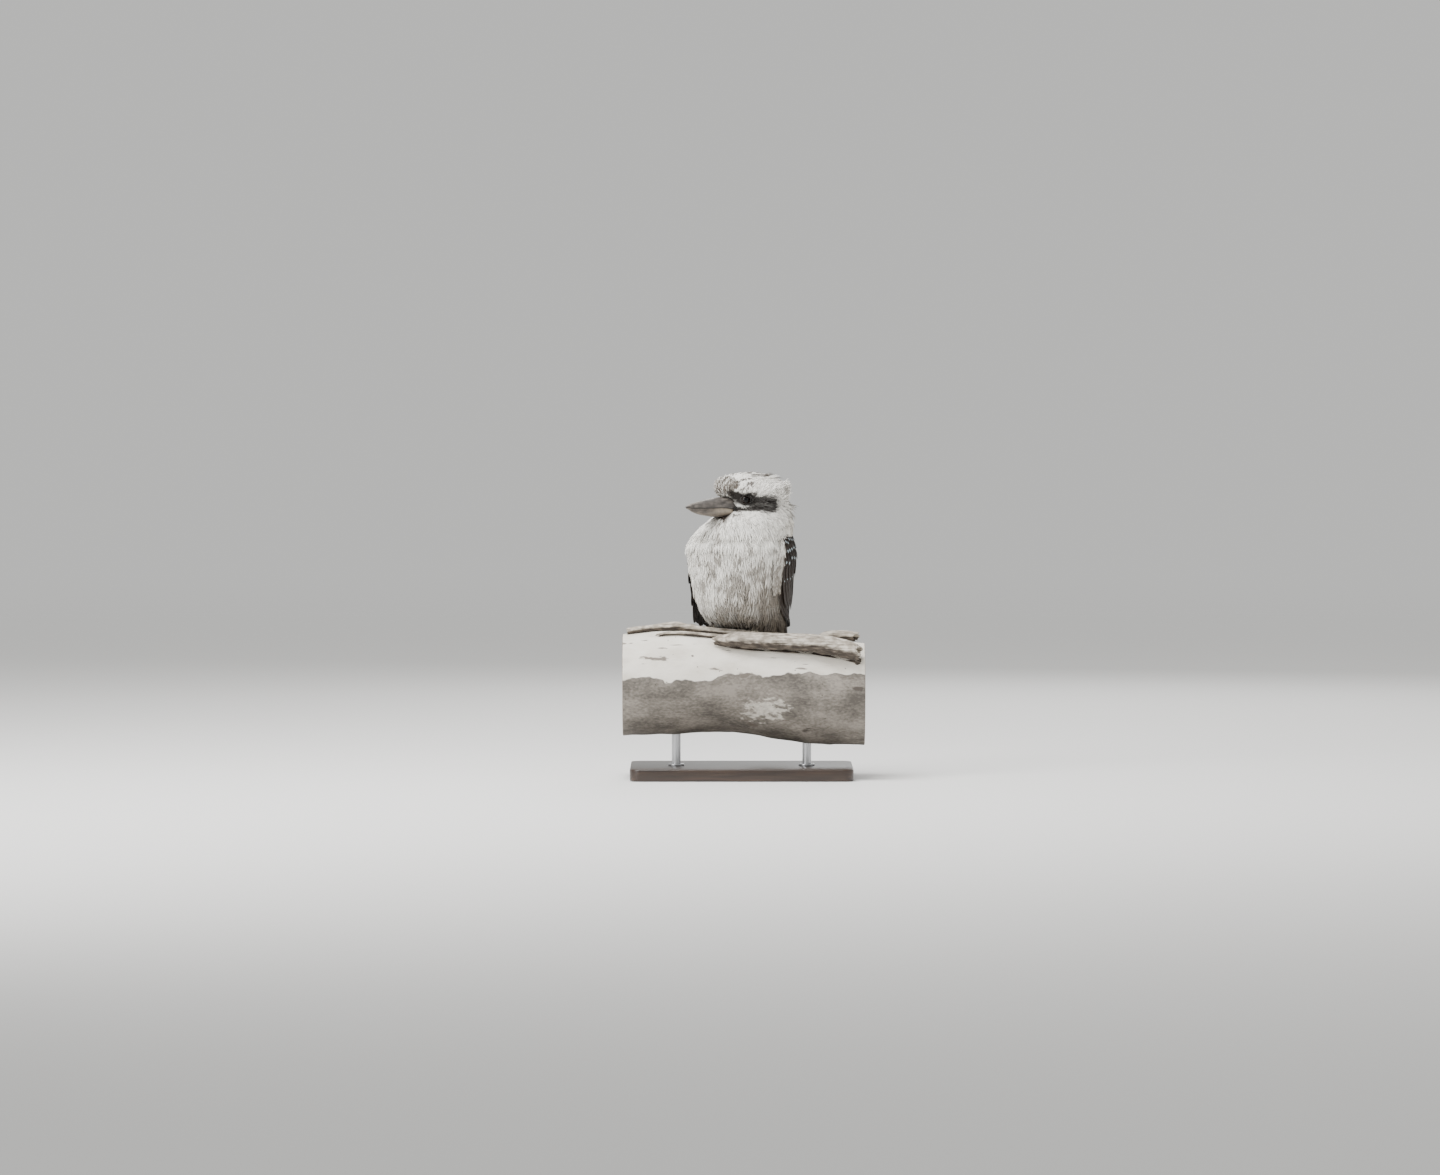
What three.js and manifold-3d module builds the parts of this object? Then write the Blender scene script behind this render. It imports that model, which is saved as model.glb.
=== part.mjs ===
// A laughing kookaburra at life size, fluffed up on a short cut length of smooth-barked branch, which a
// plain display stand carries. Millimetres, +Z up, origin at the middle of the stand's underside.
// The bird faces -Y, its chest turned a little towards -X and its head turned further, so that its left
// eye and the whole length of its bill show from the front.
import * as THREE from 'three';
import { mergeVertices } from 'three/addons/utils/BufferGeometryUtils.js';
import Module from 'manifold-3d';

const wasm = await Module();
wasm.setup();

const GAP = 0.3; // between touching pieces
const SLIVER = 0.004;
const DEG = Math.PI / 180;

// Stand and branch
const BASE = { length: 300, depth: 214, height: 16, corner: 14, chamfer: 2 };
const ROD = { radius: 6, spread: 88, sides: 24, sunk: 20 };
const PERCH_TOP = 200; // height of the bird's zero level, the top of the branch, above the floor
const BRANCH = { y: -16, sides: 24, rings: 13 };
// The branch's line: place along it, height of its middle, radius
const BRANCH_LINE = [
  [-160, -75.5, 69],
  [-96, -72, 70.5],
  [-50, -71.5, 67.5],
  [0, -74.3, 65.8],
  [64, -81.3, 68.8],
  [106, -85.5, 70.8],
  [166, -87.5, 69.5],
];

// Body: turn of the chest and of the head from straight ahead, towards -X
const CHEST_TURN = 20;
const HEAD_TURN = 55;

// Level sections of the coat's outer form, from under the belly to the crown, in the bird's own frame:
// height, centre x and y, turn, reach forwards, reach backwards, half width, fullness of the corners
const SECTIONS = [
  [-12, 14, 10, CHEST_TURN, 0, 0, 0, 2],
  [-11, 14, 8, CHEST_TURN, 12, 30, 34, 2],
  [-5, 14, 6, CHEST_TURN, 22, 52, 45, 2],
  [0, 11, 5, CHEST_TURN, 30, 64, 49.5, 2.1],
  [5, 8, 4, CHEST_TURN, 38, 71, 52, 2.1],
  [14, 4, 2, CHEST_TURN, 48, 76, 54.5, 2.1],
  [30, -1, 0, CHEST_TURN, 57, 79, 57.5, 2.1],
  [50, -3, 0, CHEST_TURN, 64, 79, 61.5, 2.1],
  [72, -3, 0, CHEST_TURN, 69, 75, 65, 2.1],
  [96, -2, 0, 21, 73, 69, 70, 2.15],
  [113, -1.5, -1, 23, 77, 65, 71.5, 2.15],
  [127, 1, -4, 29, 70, 63, 65, 2.1],
  [140, 7, -8, 39, 67, 68, 60.5, 2.1],
  [150, 12, -11, 47, 54, 66, 51, 2],
  [160, 13, -12, 52, 44, 63, 45, 1.75],
  [171, 13, -12, HEAD_TURN, 44, 62, 42, 1.52],
  [178, 13, -12, HEAD_TURN, 46, 60, 41.5, 1.55],
  [184, 13, -12, HEAD_TURN, 51, 58, 41, 1.75],
  [191, 13, -12, HEAD_TURN, 52, 55, 40, 2.05],
  [198, 12, -12, HEAD_TURN, 47.5, 50, 37, 2.3],
  [205, 11, -12, HEAD_TURN, 39, 40, 30, 2.3],
  [210, 9, -12, HEAD_TURN, 26, 26, 20, 2.2],
  [212.6, 8, -12, HEAD_TURN, 12, 12, 9, 2],
  [213.2, 8, -12, HEAD_TURN, 0, 0, 0, 2],
];
const BODY_SIDES = 30;
const RINGS_PER_SECTION = 1.25;
const NECK_FROM = 129; // heights of the two thin cuts that part torso, neck and head
const HEAD_FROM = 150;

// Head: its own origin, with the sizes of bill and eyes measured from it
const HEAD = { x: 13, y: -12, z: 168 };
const EYE = { forward: 26, side: 22.2, up: 7.5, radius: 7.5 };
const LIDS = { ring: 6.4, thick: 1.2, turn: 22, out: 4.2, corner: 0.14, squash: 0.9 };
const BILL = { root: 30, tip: 108.5, mouth: -3.6, width: 15.5, sides: 16, rings: 15 };
const NOSTRIL = { forward: 52, side: 9.6, up: 4.4, length: 3.2, height: 1.1, depth: 1.6, slope: 14 };
const EYE_HOLLOW = { forward: 27.5, side: 31, length: 12, height: 7.6, depth: 5 };
const GAPE = { from: 46, to: 20, drop: [-1.4, -3.4], radius: [1.7, 0.9], steps: 8 };

// Feather vanes: thickness, and the share of their spacing that a half width takes
const VANE = { thick: 0.6, half: 0.66 };
const WING_CLEAR = { shoulder: 2.8, tip: 4.8 }; // how far a wing's surface stands off the body

// A position on a smooth curve through the rows of a table; u runs from 0 to the number of rows less one
function smoothRow(rows, u) {
  const last = rows.length - 1;
  const i = Math.min(Math.max(Math.floor(u), 0), last - 1);
  const t = Math.min(Math.max(u - i, 0), 1);
  const [a, b, c, d] = [rows[Math.max(i - 1, 0)], rows[i], rows[i + 1], rows[Math.min(i + 2, last)]];
  return b.map((_, k) => {
    const start = (c[k] - a[k]) / 2;
    const end = (d[k] - b[k]) / 2;
    const t2 = t * t;
    const t3 = t2 * t;
    return (2 * t3 - 3 * t2 + 1) * b[k] + (t3 - 2 * t2 + t) * start + (3 * t2 - 2 * t3) * c[k] + (t3 - t2) * end;
  });
}

// The row of a table at a given first value, which rises all the way down the table
function rowAt(rows, value) {
  let low = 0;
  let high = rows.length - 1;
  for (let k = 0; k < 40; k++) {
    const mid = (low + high) / 2;
    if (smoothRow(rows, mid)[0] < value) low = mid;
    else high = mid;
  }
  return smoothRow(rows, (low + high) / 2);
}

const lerp = (a, b, t) => a + (b - a) * t;
const power = (value, exponent) => Math.sign(value) * Math.abs(value) ** exponent;

// Directions of a level frame turned towards -X: forwards, and the bird's own left
function facing(turn) {
  const [s, c] = [Math.sin(turn * DEG), Math.cos(turn * DEG)];
  return { forward: new THREE.Vector3(-s, -c, 0), left: new THREE.Vector3(c, -s, 0) };
}

// SOLIDS

function solidOf(geometry) {
  const plain = new THREE.BufferGeometry().setAttribute('position', geometry.getAttribute('position'));
  if (geometry.index) plain.setIndex(geometry.index);
  const merged = mergeVertices(plain, 1e-4);
  const make = (triVerts) =>
    new wasm.Manifold(new wasm.Mesh({ numProp: 3, vertProperties: merged.attributes.position.array, triVerts }));
  const faces = new Uint32Array(merged.index.array);
  const solid = make(faces);
  if (solid.volume() > 0) return solid;
  for (let i = 0; i < faces.length; i += 3) [faces[i + 1], faces[i + 2]] = [faces[i + 2], faces[i + 1]];
  return make(faces);
}

// The mesh of a solid, with the slivers that its joins and cuts left closed up
function geometryOf(solid) {
  const mesh = solid.simplify(SLIVER).getMesh();
  const places = new Float32Array(mesh.numVert * 3);
  for (let i = 0; i < mesh.numVert; i++) {
    places.set(mesh.vertProperties.subarray(i * mesh.numProp, i * mesh.numProp + 3), i * 3);
  }
  const geometry = new THREE.BufferGeometry().setAttribute('position', new THREE.BufferAttribute(places, 3));
  geometry.setIndex(new THREE.BufferAttribute(mesh.triVerts, 1));
  geometry.computeVertexNormals();
  return geometry;
}

const joined = (solids) => wasm.Manifold.union(solids);
const without = (solid, ...cutters) => cutters.reduce((left, cutter) => left.subtract(cutter), solid);

// The largest closed body of a solid, so that a cut leaves no loose scrap
function largest(solid) {
  return solid.decompose().reduce((a, b) => (b.volume() > a.volume() ? b : a));
}

// A closed solid through rings of points, each ring having as many points as the others. alike(side) says
// whether that side's quads are split the other way, so that the two faces of a thin vane stay parallel.
function loft(rings, alike = () => false) {
  const count = rings[0].length;
  const places = rings.flat().flatMap((p) => [p.x, p.y, p.z]);
  const faces = [];
  for (let r = 0; r < rings.length - 1; r++) {
    for (let s = 0; s < count; s++) {
      const [a, b] = [r * count + s, r * count + ((s + 1) % count)];
      const [c, d] = [a + count, b + count];
      if (alike(s)) faces.push(a, b, c, b, d, c);
      else faces.push(a, b, d, a, d, c);
    }
  }
  for (const [ring, turned] of [[0, false], [rings.length - 1, true]]) {
    const middle = rings[ring].reduce((sum, p) => sum.add(p), new THREE.Vector3()).divideScalar(count);
    const centre = places.length / 3;
    places.push(middle.x, middle.y, middle.z);
    for (let s = 0; s < count; s++) {
      const [a, b] = [ring * count + s, ring * count + ((s + 1) % count)];
      faces.push(...(turned ? [centre, a, b] : [centre, b, a]));
    }
  }
  const geometry = new THREE.BufferGeometry();
  geometry.setAttribute('position', new THREE.Float32BufferAttribute(places, 3));
  geometry.setIndex(faces);
  return solidOf(geometry);
}

// A tube through points, with a radius at each, flattened by a share, its ends rounded by their radii
function tube(points, radii, sides, flat = 1, up = new THREE.Vector3(0, 0, 1)) {
  const rings = points.map((p, i) => {
    const along = points[Math.min(i + 1, points.length - 1)].clone().sub(points[Math.max(i - 1, 0)]).normalize();
    const across = new THREE.Vector3().crossVectors(up, along).normalize();
    const over = new THREE.Vector3().crossVectors(along, across);
    return Array.from({ length: sides }, (_, s) => {
      const angle = (2 * Math.PI * s) / sides;
      return p
        .clone()
        .addScaledVector(across, radii[i] * Math.cos(angle))
        .addScaledVector(over, radii[i] * flat * Math.sin(angle));
    });
  });
  return loft(rings);
}

function ellipsoid(centre, radii, axes, wide = 12, high = 8) {
  const geometry = new THREE.SphereGeometry(1, wide, high);
  const place = new THREE.Matrix4().makeBasis(
    axes[0].clone().multiplyScalar(radii[0]),
    axes[1].clone().multiplyScalar(radii[1]),
    axes[2].clone().multiplyScalar(radii[2]),
  );
  place.setPosition(centre);
  geometry.applyMatrix4(place);
  return solidOf(geometry);
}

const UP = new THREE.Vector3(0, 0, 1);

// BODY

// The point of a level section at an angle from forwards round to the bird's left
function sectionPoint([z, x, y, turn, ahead, behind, half, full], angle, grow = 0) {
  const { forward, left } = facing(turn);
  const [c, s] = [Math.cos(angle * DEG), Math.sin(angle * DEG)];
  const closed = half < 0.01;
  const reach = closed ? 0 : (c > 0 ? ahead : behind) + grow;
  const wide = closed ? 0 : half + grow;
  return new THREE.Vector3(x, y, z)
    .addScaledVector(forward, reach * power(c, 2 / full))
    .addScaledVector(left, wide * power(s, 2 / full));
}

function bodyForm(grow = 0) {
  const steps = Math.round((SECTIONS.length - 1) * RINGS_PER_SECTION);
  const rings = [];
  for (let k = 0; k <= steps; k++) {
    const row = smoothRow(SECTIONS, ((SECTIONS.length - 1) * k) / steps);
    const end = k === 0 ? -grow : k === steps ? grow : 0;
    row[0] += end;
    const tiny = k === 0 || k === steps ? 0.4 : 0;
    const sized = tiny ? [...row.slice(0, 4), tiny, tiny, tiny, 2] : row;
    rings.push(Array.from({ length: BODY_SIDES }, (_, s) => sectionPoint(sized, (360 * s) / BODY_SIDES, tiny ? 0 : grow)));
  }
  return loft(rings);
}

// Moves a point out until it is at least so far outside the body's coat
function clearOfBody(point, off) {
  const row = rowAt(SECTIONS, point.z);
  const [, x, y, turn, ahead, behind, half, full] = row;
  const { forward, left } = facing(turn);
  const from = new THREE.Vector3(point.x - x, point.y - y, 0);
  const [f, l] = [from.dot(forward), from.dot(left)];
  const reach = (f > 0 ? ahead : behind) + off;
  const share = (Math.abs(f / reach) ** full + Math.abs(l / (half + off)) ** full) ** (1 / full);
  if (share >= 1 || share < 0.05) return point;
  return new THREE.Vector3(x + from.x / share, y + from.y / share, point.z);
}

const chestAxes = facing(CHEST_TURN);
const headAxes = facing(HEAD_TURN);
const headPoint = (forward, side, up) =>
  new THREE.Vector3(HEAD.x, HEAD.y, HEAD.z + up)
    .addScaledVector(headAxes.forward, forward)
    .addScaledVector(headAxes.left, side);

// Bill: height of the ridge and of the lower edge over the head's origin, and half width, from root to tip
const RIDGE = [[0, 11.2], [0.2, 12], [0.34, 11.8], [0.5, 9.9], [0.67, 7.4], [0.85, 3.8], [0.94, 1], [1, -1.6]];
const KEEL = [[0, -13], [0.2, -15.5], [0.38, -15.6], [0.5, -14.6], [0.67, -12.8], [0.83, -9.2], [0.93, -5], [1, -3]];
const HALF = [[0, 1.02], [0.2, 1], [0.4, 0.84], [0.6, 0.62], [0.8, 0.37], [0.92, 0.2], [1, 0.05]];
const MOUTH = [[0, -2.2], [0.12, -1.4], [0.3, 0.5], [0.5, 0.5], [0.75, 0.4], [0.87, 0.6], [1, 1.5]];

// One mandible: a rounded roof over a nearly flat floor, or the same upside down
function mandible(upper, grow = 0) {
  const rings = [];
  const end = upper ? 1 : 0.965;
  for (let k = 0; k < BILL.rings; k++) {
    const t = (end * k) / (BILL.rings - 1);
    const forward = lerp(BILL.root, BILL.tip, t) + (k === BILL.rings - 1 ? grow : 0);
    const mouth = BILL.mouth + rowAt(MOUTH, t)[1];
    const outer = rowAt(upper ? RIDGE : KEEL, t)[1];
    const floor = mouth + (upper ? GAP / 2 : -GAP / 2);
    const rise = Math.abs(outer - floor) + grow;
    const half = BILL.width * rowAt(HALF, t)[1] * (upper ? 1 : 0.93) + grow;
    const way = upper ? 1 : -1;
    rings.push(
      Array.from({ length: BILL.sides }, (_, s) => {
        const angle = (360 * s) / BILL.sides + 180 / BILL.sides;
        const [c, v] = [Math.cos(angle * DEG), Math.sin(angle * DEG)];
        const over = v > 0 ? Math.max(rise, 0.5) * power(v, 0.88) : -(grow + 0.02) * Math.abs(v);
        return headPoint(forward, Math.max(half, 0.5) * power(c, 0.8), floor + way * over);
      }),
    );
  }
  return loft(rings);
}

function nostrils() {
  return [1, -1].map((side) => {
    const slope = NOSTRIL.slope * DEG;
    const along = headAxes.forward.clone().multiplyScalar(Math.cos(slope)).addScaledVector(UP, -Math.sin(slope));
    const out = headAxes.left.clone().multiplyScalar(side);
    const over = new THREE.Vector3().crossVectors(along, out);
    return ellipsoid(
      headPoint(NOSTRIL.forward, side * NOSTRIL.side, NOSTRIL.up),
      [NOSTRIL.length, NOSTRIL.depth, NOSTRIL.height],
      [along, out, over],
    );
  });
}

const eyePlace = (side) => headPoint(EYE.forward, side * EYE.side, EYE.up);
const eyeball = (side, grow = 0) =>
  ellipsoid(
    eyePlace(side),
    [1, 1, 1].map((one) => one * (EYE.radius + grow)),
    [headAxes.forward, UP, headAxes.left],
  );

// The hollow between brow and cheek that the eye sits in
function eyeHollow(side) {
  const radii = [EYE_HOLLOW.length, EYE_HOLLOW.height, EYE_HOLLOW.depth];
  const middle = headPoint(EYE_HOLLOW.forward, side * EYE_HOLLOW.side, EYE.up);
  return ellipsoid(middle, radii, [headAxes.forward, UP, headAxes.left]);
}

// Lids: a soft ring round the opening, drawn out a little at its two corners
function lids(side) {
  const turn = LIDS.turn * DEG;
  const out = headAxes.left.clone().multiplyScalar(side * Math.cos(turn)).addScaledVector(headAxes.forward, Math.sin(turn));
  const along = new THREE.Vector3().crossVectors(UP, out).normalize();
  const middle = eyePlace(side).addScaledVector(out, LIDS.out);
  const band = LIDS.thick / LIDS.ring;
  const geometry = new THREE.TorusGeometry(1, band, 6, 16);
  const places = geometry.getAttribute('position');
  for (let i = 0; i < places.count; i++) {
    const [x, y, z] = [places.getX(i), places.getY(i), places.getZ(i)];
    const far = Math.hypot(x, y);
    const wide = LIDS.ring * (far + LIDS.corner * (x / far) ** 4);
    const p = middle
      .clone()
      .addScaledVector(along, (wide * x) / far)
      .addScaledVector(UP, ((wide * y) / far) * LIDS.squash)
      .addScaledVector(out, LIDS.ring * z * 1.2);
    places.setXYZ(i, p.x, p.y, p.z);
  }
  return solidOf(geometry);
}

// The mouth's line running back from the bill under the eye, as a groove in the cheek
function gapeLine(side) {
  const points = [];
  const radii = [];
  for (let k = 0; k <= GAPE.steps; k++) {
    const t = k / GAPE.steps;
    const forward = lerp(GAPE.from, GAPE.to, t);
    const up = BILL.mouth + lerp(...GAPE.drop, t);
    const [, , , , ahead, , half, full] = rowAt(SECTIONS, HEAD.z + up);
    const wide = half * (1 - Math.min(forward / ahead, 0.999) ** full) ** (1 / full);
    points.push(headPoint(forward, side * (wide + 0.6), up));
    radii.push(lerp(...GAPE.radius, t));
  }
  return tube(points, radii, 8);
}

// WINGS

// The surface that a folded wing lies on: height, reach forwards, reach backwards, half width of the left
// and of the right wing
const WING_FORM = [
  [-8, 44, 101, 54, 64],
  [10, 52, 101, 56, 66],
  [30, 58, 97, 59, 66.5],
  [50, 62, 91, 63.5, 66.5],
  [72, 66, 84, 67, 67],
  [96, 70, 75, 71.5, 70],
  [113, 71, 68, 70, 71],
  [127, 67, 63, 67, 67],
  [140, 59, 59, 60, 60],
  [150, 51, 55, 53, 53],
];

// The edges of each folded wing from shoulder to tip: height, and angle from straight ahead
const LEFT_WING = {
  side: 1,
  lower: [[137, 66], [116, 68], [90, 73], [58, 84], [26, 112], [0, 143]],
  upper: [[146, 120], [130, 135], [112, 147], [86, 158], [56, 167], [26, 170]],
};
const RIGHT_WING = {
  side: -1,
  lower: [[137, 68], [114, 72], [86, 76], [56, 80], [30, 87], [9, 100]],
  upper: [[146, 120], [130, 135], [110, 146], [80, 154], [46, 157], [14, 150]],
};

function wingPoint(wing, s, t, off) {
  const last = wing.lower.length - 1;
  const past = Math.max(s - 1, 0) * last;
  const [lower, upper] = [wing.lower, wing.upper].map((edge) =>
    smoothRow(edge, s * last).map((value, k) => value + (edge[last][k] - edge[last - 1][k]) * past * 0.9),
  );
  const z = lerp(lower[0], upper[0], t);
  const angle = lerp(lower[1], upper[1], t);
  const [, ahead, behind, ...halves] = rowAt(WING_FORM, Math.min(Math.max(z, -8), 150));
  const half = halves[wing.side > 0 ? 0 : 1];
  const row = [z, 0, 0, CHEST_TURN, ahead + off, behind + off, half + off, 2.1];
  const clear = lerp(WING_CLEAR.shoulder, WING_CLEAR.tip, THREE.MathUtils.smoothstep(s, 0.3, 0.6));
  return clearOfBody(sectionPoint(row, wing.side * angle), clear + off);
}

// One vane: at(v, x) gives the place and outward direction v of the way from root to tip and x of the half
// width to the side. Its width grows from the root and rounds off from the point onwards.
function vane(at, steps, lift, tilt, point = 0.5) {
  const rings = [];
  for (let k = 0; k <= steps; k++) {
    const v = 1 - (1 - k / steps) ** 1.5;
    const ended = v > point ? Math.sqrt(1 - 0.86 * ((v - point) / (1 - point)) ** 2.4) : 1;
    const wide = Math.min(1, 0.6 + 1.6 * v) * ended;
    const thick = VANE.thick * (k === steps ? 0.7 : 1);
    const place = (q, layer) => {
      const { at: p, out } = at(v, q * wide);
      return p.addScaledVector(out, lerp(lift[0], lift[1], v) + tilt * Math.min(1, 5 * v) * q * wide + layer * thick);
    };
    rings.push([place(-1, 0.5), place(1, 0.5), place(1, -0.5), place(-1, -0.5)]);
  }
  return loft(rings, (side) => side === 2);
}

// A vane of a folded wing, from its root to its tip on the wing's own surface; its higher edge is the lower
// one, which covers the next vane's upper edge
function wingVane(wing, root, tip, half, tier) {
  const place = (v, x) => {
    const [s, t] = [lerp(root[0], tip[0], v), lerp(root[1], tip[1], v) + x * half];
    const p = wingPoint(wing, s, t, 0);
    return { at: p, out: wingPoint(wing, s, t, 4).sub(p).normalize() };
  };
  return vane(place, tier.steps, tier.lift, -tier.tilt);
}

// Tiers of a folded wing, from the longest feathers up to the shoulder: how many, the roots and tips of the
// first and last along and across the wing, height of root and tip over the wing's surface, tilt, steps
const TIERS = [
  { count: 6, roots: [[0.5, 0.06], [0.5, 0.5]], tips: [[0.84, 0.06], [1.1, 0.5]], lift: [-3, -0.8], tilt: 1.5, steps: 4 },
  { count: 7, roots: [[0.41, 0.12], [0.41, 0.93]], tips: [[0.8, 0.17], [0.93, 0.93]], lift: [-2, 2.6], tilt: 1.05, steps: 3 },
  { count: 7, roots: [[0.27, 0.1], [0.26, 0.92]], tips: [[0.58, 0.1], [0.62, 0.92]], lift: [-2.4, 3.2], tilt: 1.05, steps: 3 },
  { count: 7, roots: [[0.14, 0.09], [0.13, 0.92]], tips: [[0.39, 0.09], [0.41, 0.92]], lift: [-2.4, 3.2], tilt: 1.05, steps: 3 },
  { count: 7, roots: [[0.01, 0.09], [0, 0.92]], tips: [[0.23, 0.09], [0.24, 0.92]], lift: [-2.4, 3.2], tilt: 1.05, steps: 3 },
];

// The flesh under the coverts: a sheet that the vanes grow from
function wingCore(wing) {
  const [down, across, last] = [6, 5, 0.6];
  const sheet = (off) =>
    Array.from({ length: down + 1 }, (_, i) =>
      Array.from({ length: across + 1 }, (_, j) => {
        const edge = i === 0 || i === down || j === 0 || j === across;
        return wingPoint(wing, (last * i) / down, lerp(0.03, 0.97, j / across), edge ? off * 0.4 - 1 : off);
      }),
    );
  const [outer, inner] = [sheet(0), sheet(-3.9)];
  return loft(outer.map((line, i) => [...line, ...inner[i].slice().reverse()]), (side) => side > across);
}

function wingSolid(wing, cutters) {
  const pieces = [wingCore(wing)];
  for (const tier of TIERS) {
    const { count, roots, tips } = tier;
    const half = (VANE.half * (roots[1][1] - roots[0][1])) / (count - 1);
    for (let k = 0; k < count; k++) {
      const share = k / (count - 1);
      const at = (ends) => [0, 1].map((c) => lerp(ends[0][c], ends[1][c], share));
      const tip = at(tips);
      tip[0] += 0.008 * Math.sin(2.4 * k);
      pieces.push(wingVane(wing, at(roots), tip, half * (tier === TIERS[0] ? 1.3 : 1), tier));
    }
  }
  return largest(without(joined(pieces), ...cutters));
}

// TAIL

const TAIL = { pairs: 6, length: 148, back: 60, up: 32, lean: 33, half: 11, layer: 1.1, step: 1.9, splay: 1.35, bow: 5 };
const TAIL_ROOT = 12; // from the tail's origin inside the body to the feathers' roots
const tailAxes = (() => {
  const [forward, left] = [chestAxes.forward, chestAxes.left];
  const along = forward.clone().multiplyScalar(-Math.sin(TAIL.lean * DEG)).addScaledVector(UP, -Math.cos(TAIL.lean * DEG));
  const out = new THREE.Vector3().crossVectors(along, left).normalize();
  if (out.dot(forward) > 0) out.negate();
  const root = new THREE.Vector3(0, 0, TAIL.up).addScaledVector(forward, -TAIL.back);
  return { along, left, out, root };
})();

function tailPoint(along, side, over) {
  const share = Math.max(along - TAIL_ROOT, 0) / TAIL.length;
  return tailAxes.root
    .clone()
    .addScaledVector(tailAxes.along, along)
    .addScaledVector(tailAxes.left, side)
    .addScaledVector(tailAxes.out, over - TAIL.bow * share * share - 0.004 * side * side);
}

// A tail vane from its root to its tip, splayed by an angle; the middle ones lie over the outer ones
function tailVane(from, to, side, turn, over, half, steps, point) {
  const place = (v, x) => {
    const long = lerp(from, to, v);
    const off = side + Math.tan(turn * DEG) * (long - from) + x * half;
    return { at: tailPoint(long, off, over), out: tailAxes.out };
  };
  return vane(place, steps, [0, 0], 0, point);
}

function tailSolid(cutters) {
  const pieces = [];
  for (let k = 0; k < TAIL.pairs; k++) {
    for (const side of [1, -1]) {
      const over = 2.4 - 2 * k * TAIL.layer - (side > 0 ? 0 : TAIL.layer);
      const reach = TAIL_ROOT + TAIL.length - 0.7 * k * k;
      const [place, turn] = [side * (k + 0.5) * TAIL.step, side * (k + 0.4) * TAIL.splay];
      pieces.push(tailVane(TAIL_ROOT, reach, place, turn, over, TAIL.half, 5, 0.8));
    }
  }
  // The fleshy root that the tail feathers and their coverts grow from
  const along = [0, 0.4, 0.7, 0.9, 1];
  const points = along.map((t) => tailPoint(lerp(-8, 48, t), 0, lerp(-6, -4, t)));
  const radii = along.map((t) => lerp(26, 19, t) * Math.sqrt(1.1 - t ** 3));
  pieces.push(tube(points, radii, 10, 0.5, tailAxes.out));
  // Coverts over and under the tail
  for (const [way, over, long] of [[1, 10.4, 74], [-1, -15.8, 82]]) {
    for (const k of [-2, -1, 0, 1, 2]) {
      const height = over - way * (1.3 * Math.abs(k) + (k > 0 ? 0.65 : 0));
      const place = (v, x) => {
        const sunk = (way > 0 ? 9 : 10) * (1 - v) ** 2 + way * 2.4 * v;
        const side = 6.5 * k * (1 - 0.2 * v) + 7 * x;
        return { at: tailPoint(lerp(26, long - 4 * Math.abs(k), v), side, height - way * sunk), out: tailAxes.out };
      };
      pieces.push(vane(place, 3, [0, 0], 0));
    }
  }
  return largest(without(joined(pieces), ...cutters));
}

// BRANCH, with the rolls of shed bark that lie along it

const branchLine = (x) => {
  const [, z, radius] = rowAt(BRANCH_LINE, x);
  return { y: BRANCH.y, radius, z };
};

function branchRadius(x, angle) {
  const ripple = 0.9 * Math.sin(3 * angle + x / 37) + 0.6 * Math.sin(5 * angle - x / 21);
  return branchLine(x).radius + ripple - 0.7;
}

function branchForm(grow = 0) {
  const rings = [];
  for (let k = 0; k < BRANCH.rings; k++) {
    const t = k / (BRANCH.rings - 1);
    const [left, right] = [BRANCH_LINE[0][0], BRANCH_LINE[BRANCH_LINE.length - 1][0]];
    const x = lerp(left - grow, right + grow, t);
    const { y, z } = branchLine(x);
    rings.push(
      Array.from({ length: BRANCH.sides }, (_, s) => {
        const angle = (2 * Math.PI * s) / BRANCH.sides;
        const r = branchRadius(x, angle) + grow;
        return new THREE.Vector3(x, y + r * Math.cos(angle), z + r * Math.sin(angle));
      }),
    );
  }
  return loft(rings);
}

// Height of the branch's upper side
function branchTop(x, y) {
  const line = branchLine(x);
  const off = (y - line.y) / line.radius;
  const angle = Math.acos(Math.min(Math.max(off, -1), 1));
  return line.z + branchRadius(x, angle) * Math.sin(angle);
}

// Shed bark: the route of each roll as place along the branch, degrees forwards from its top, and radius
const BARK = {
  front: [[-40, 35, 6], [-24, 36.5, 9.5], [0, 37.8, 13.5], [64, 38, 14.5], [106, 38, 16], [146, 43, 15.5], [163, 47, 14]],
  top: [[-157, 6, 5], [-119, 6, 5.2], [-89, 5, 7], [-70, 5, 6], [-42, 5, 5.5], [0, 5, 5.5], [34, 5, 5], [68, 6, 4.6]],
  middle: [[-117, 23, 2], [-96, 22, 3], [-60, 20, 3.4], [-17, 19, 3.2], [10, 20, 2.2]],
  rear: [[98, -4, 3], [113, -5, 6.5], [135, -5, 8], [160, -5, 8]],
};
const BARK_SINK = 0.12;

function barkPoint([x, lean, radius]) {
  const line = branchLine(x);
  const out = new THREE.Vector3(0, -Math.sin(lean * DEG), Math.cos(lean * DEG));
  const far = branchRadius(x, Math.PI / 2 + lean * DEG) + radius * (1 - BARK_SINK);
  return { p: new THREE.Vector3(x, line.y, line.z).addScaledVector(out, far), radius };
}

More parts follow.
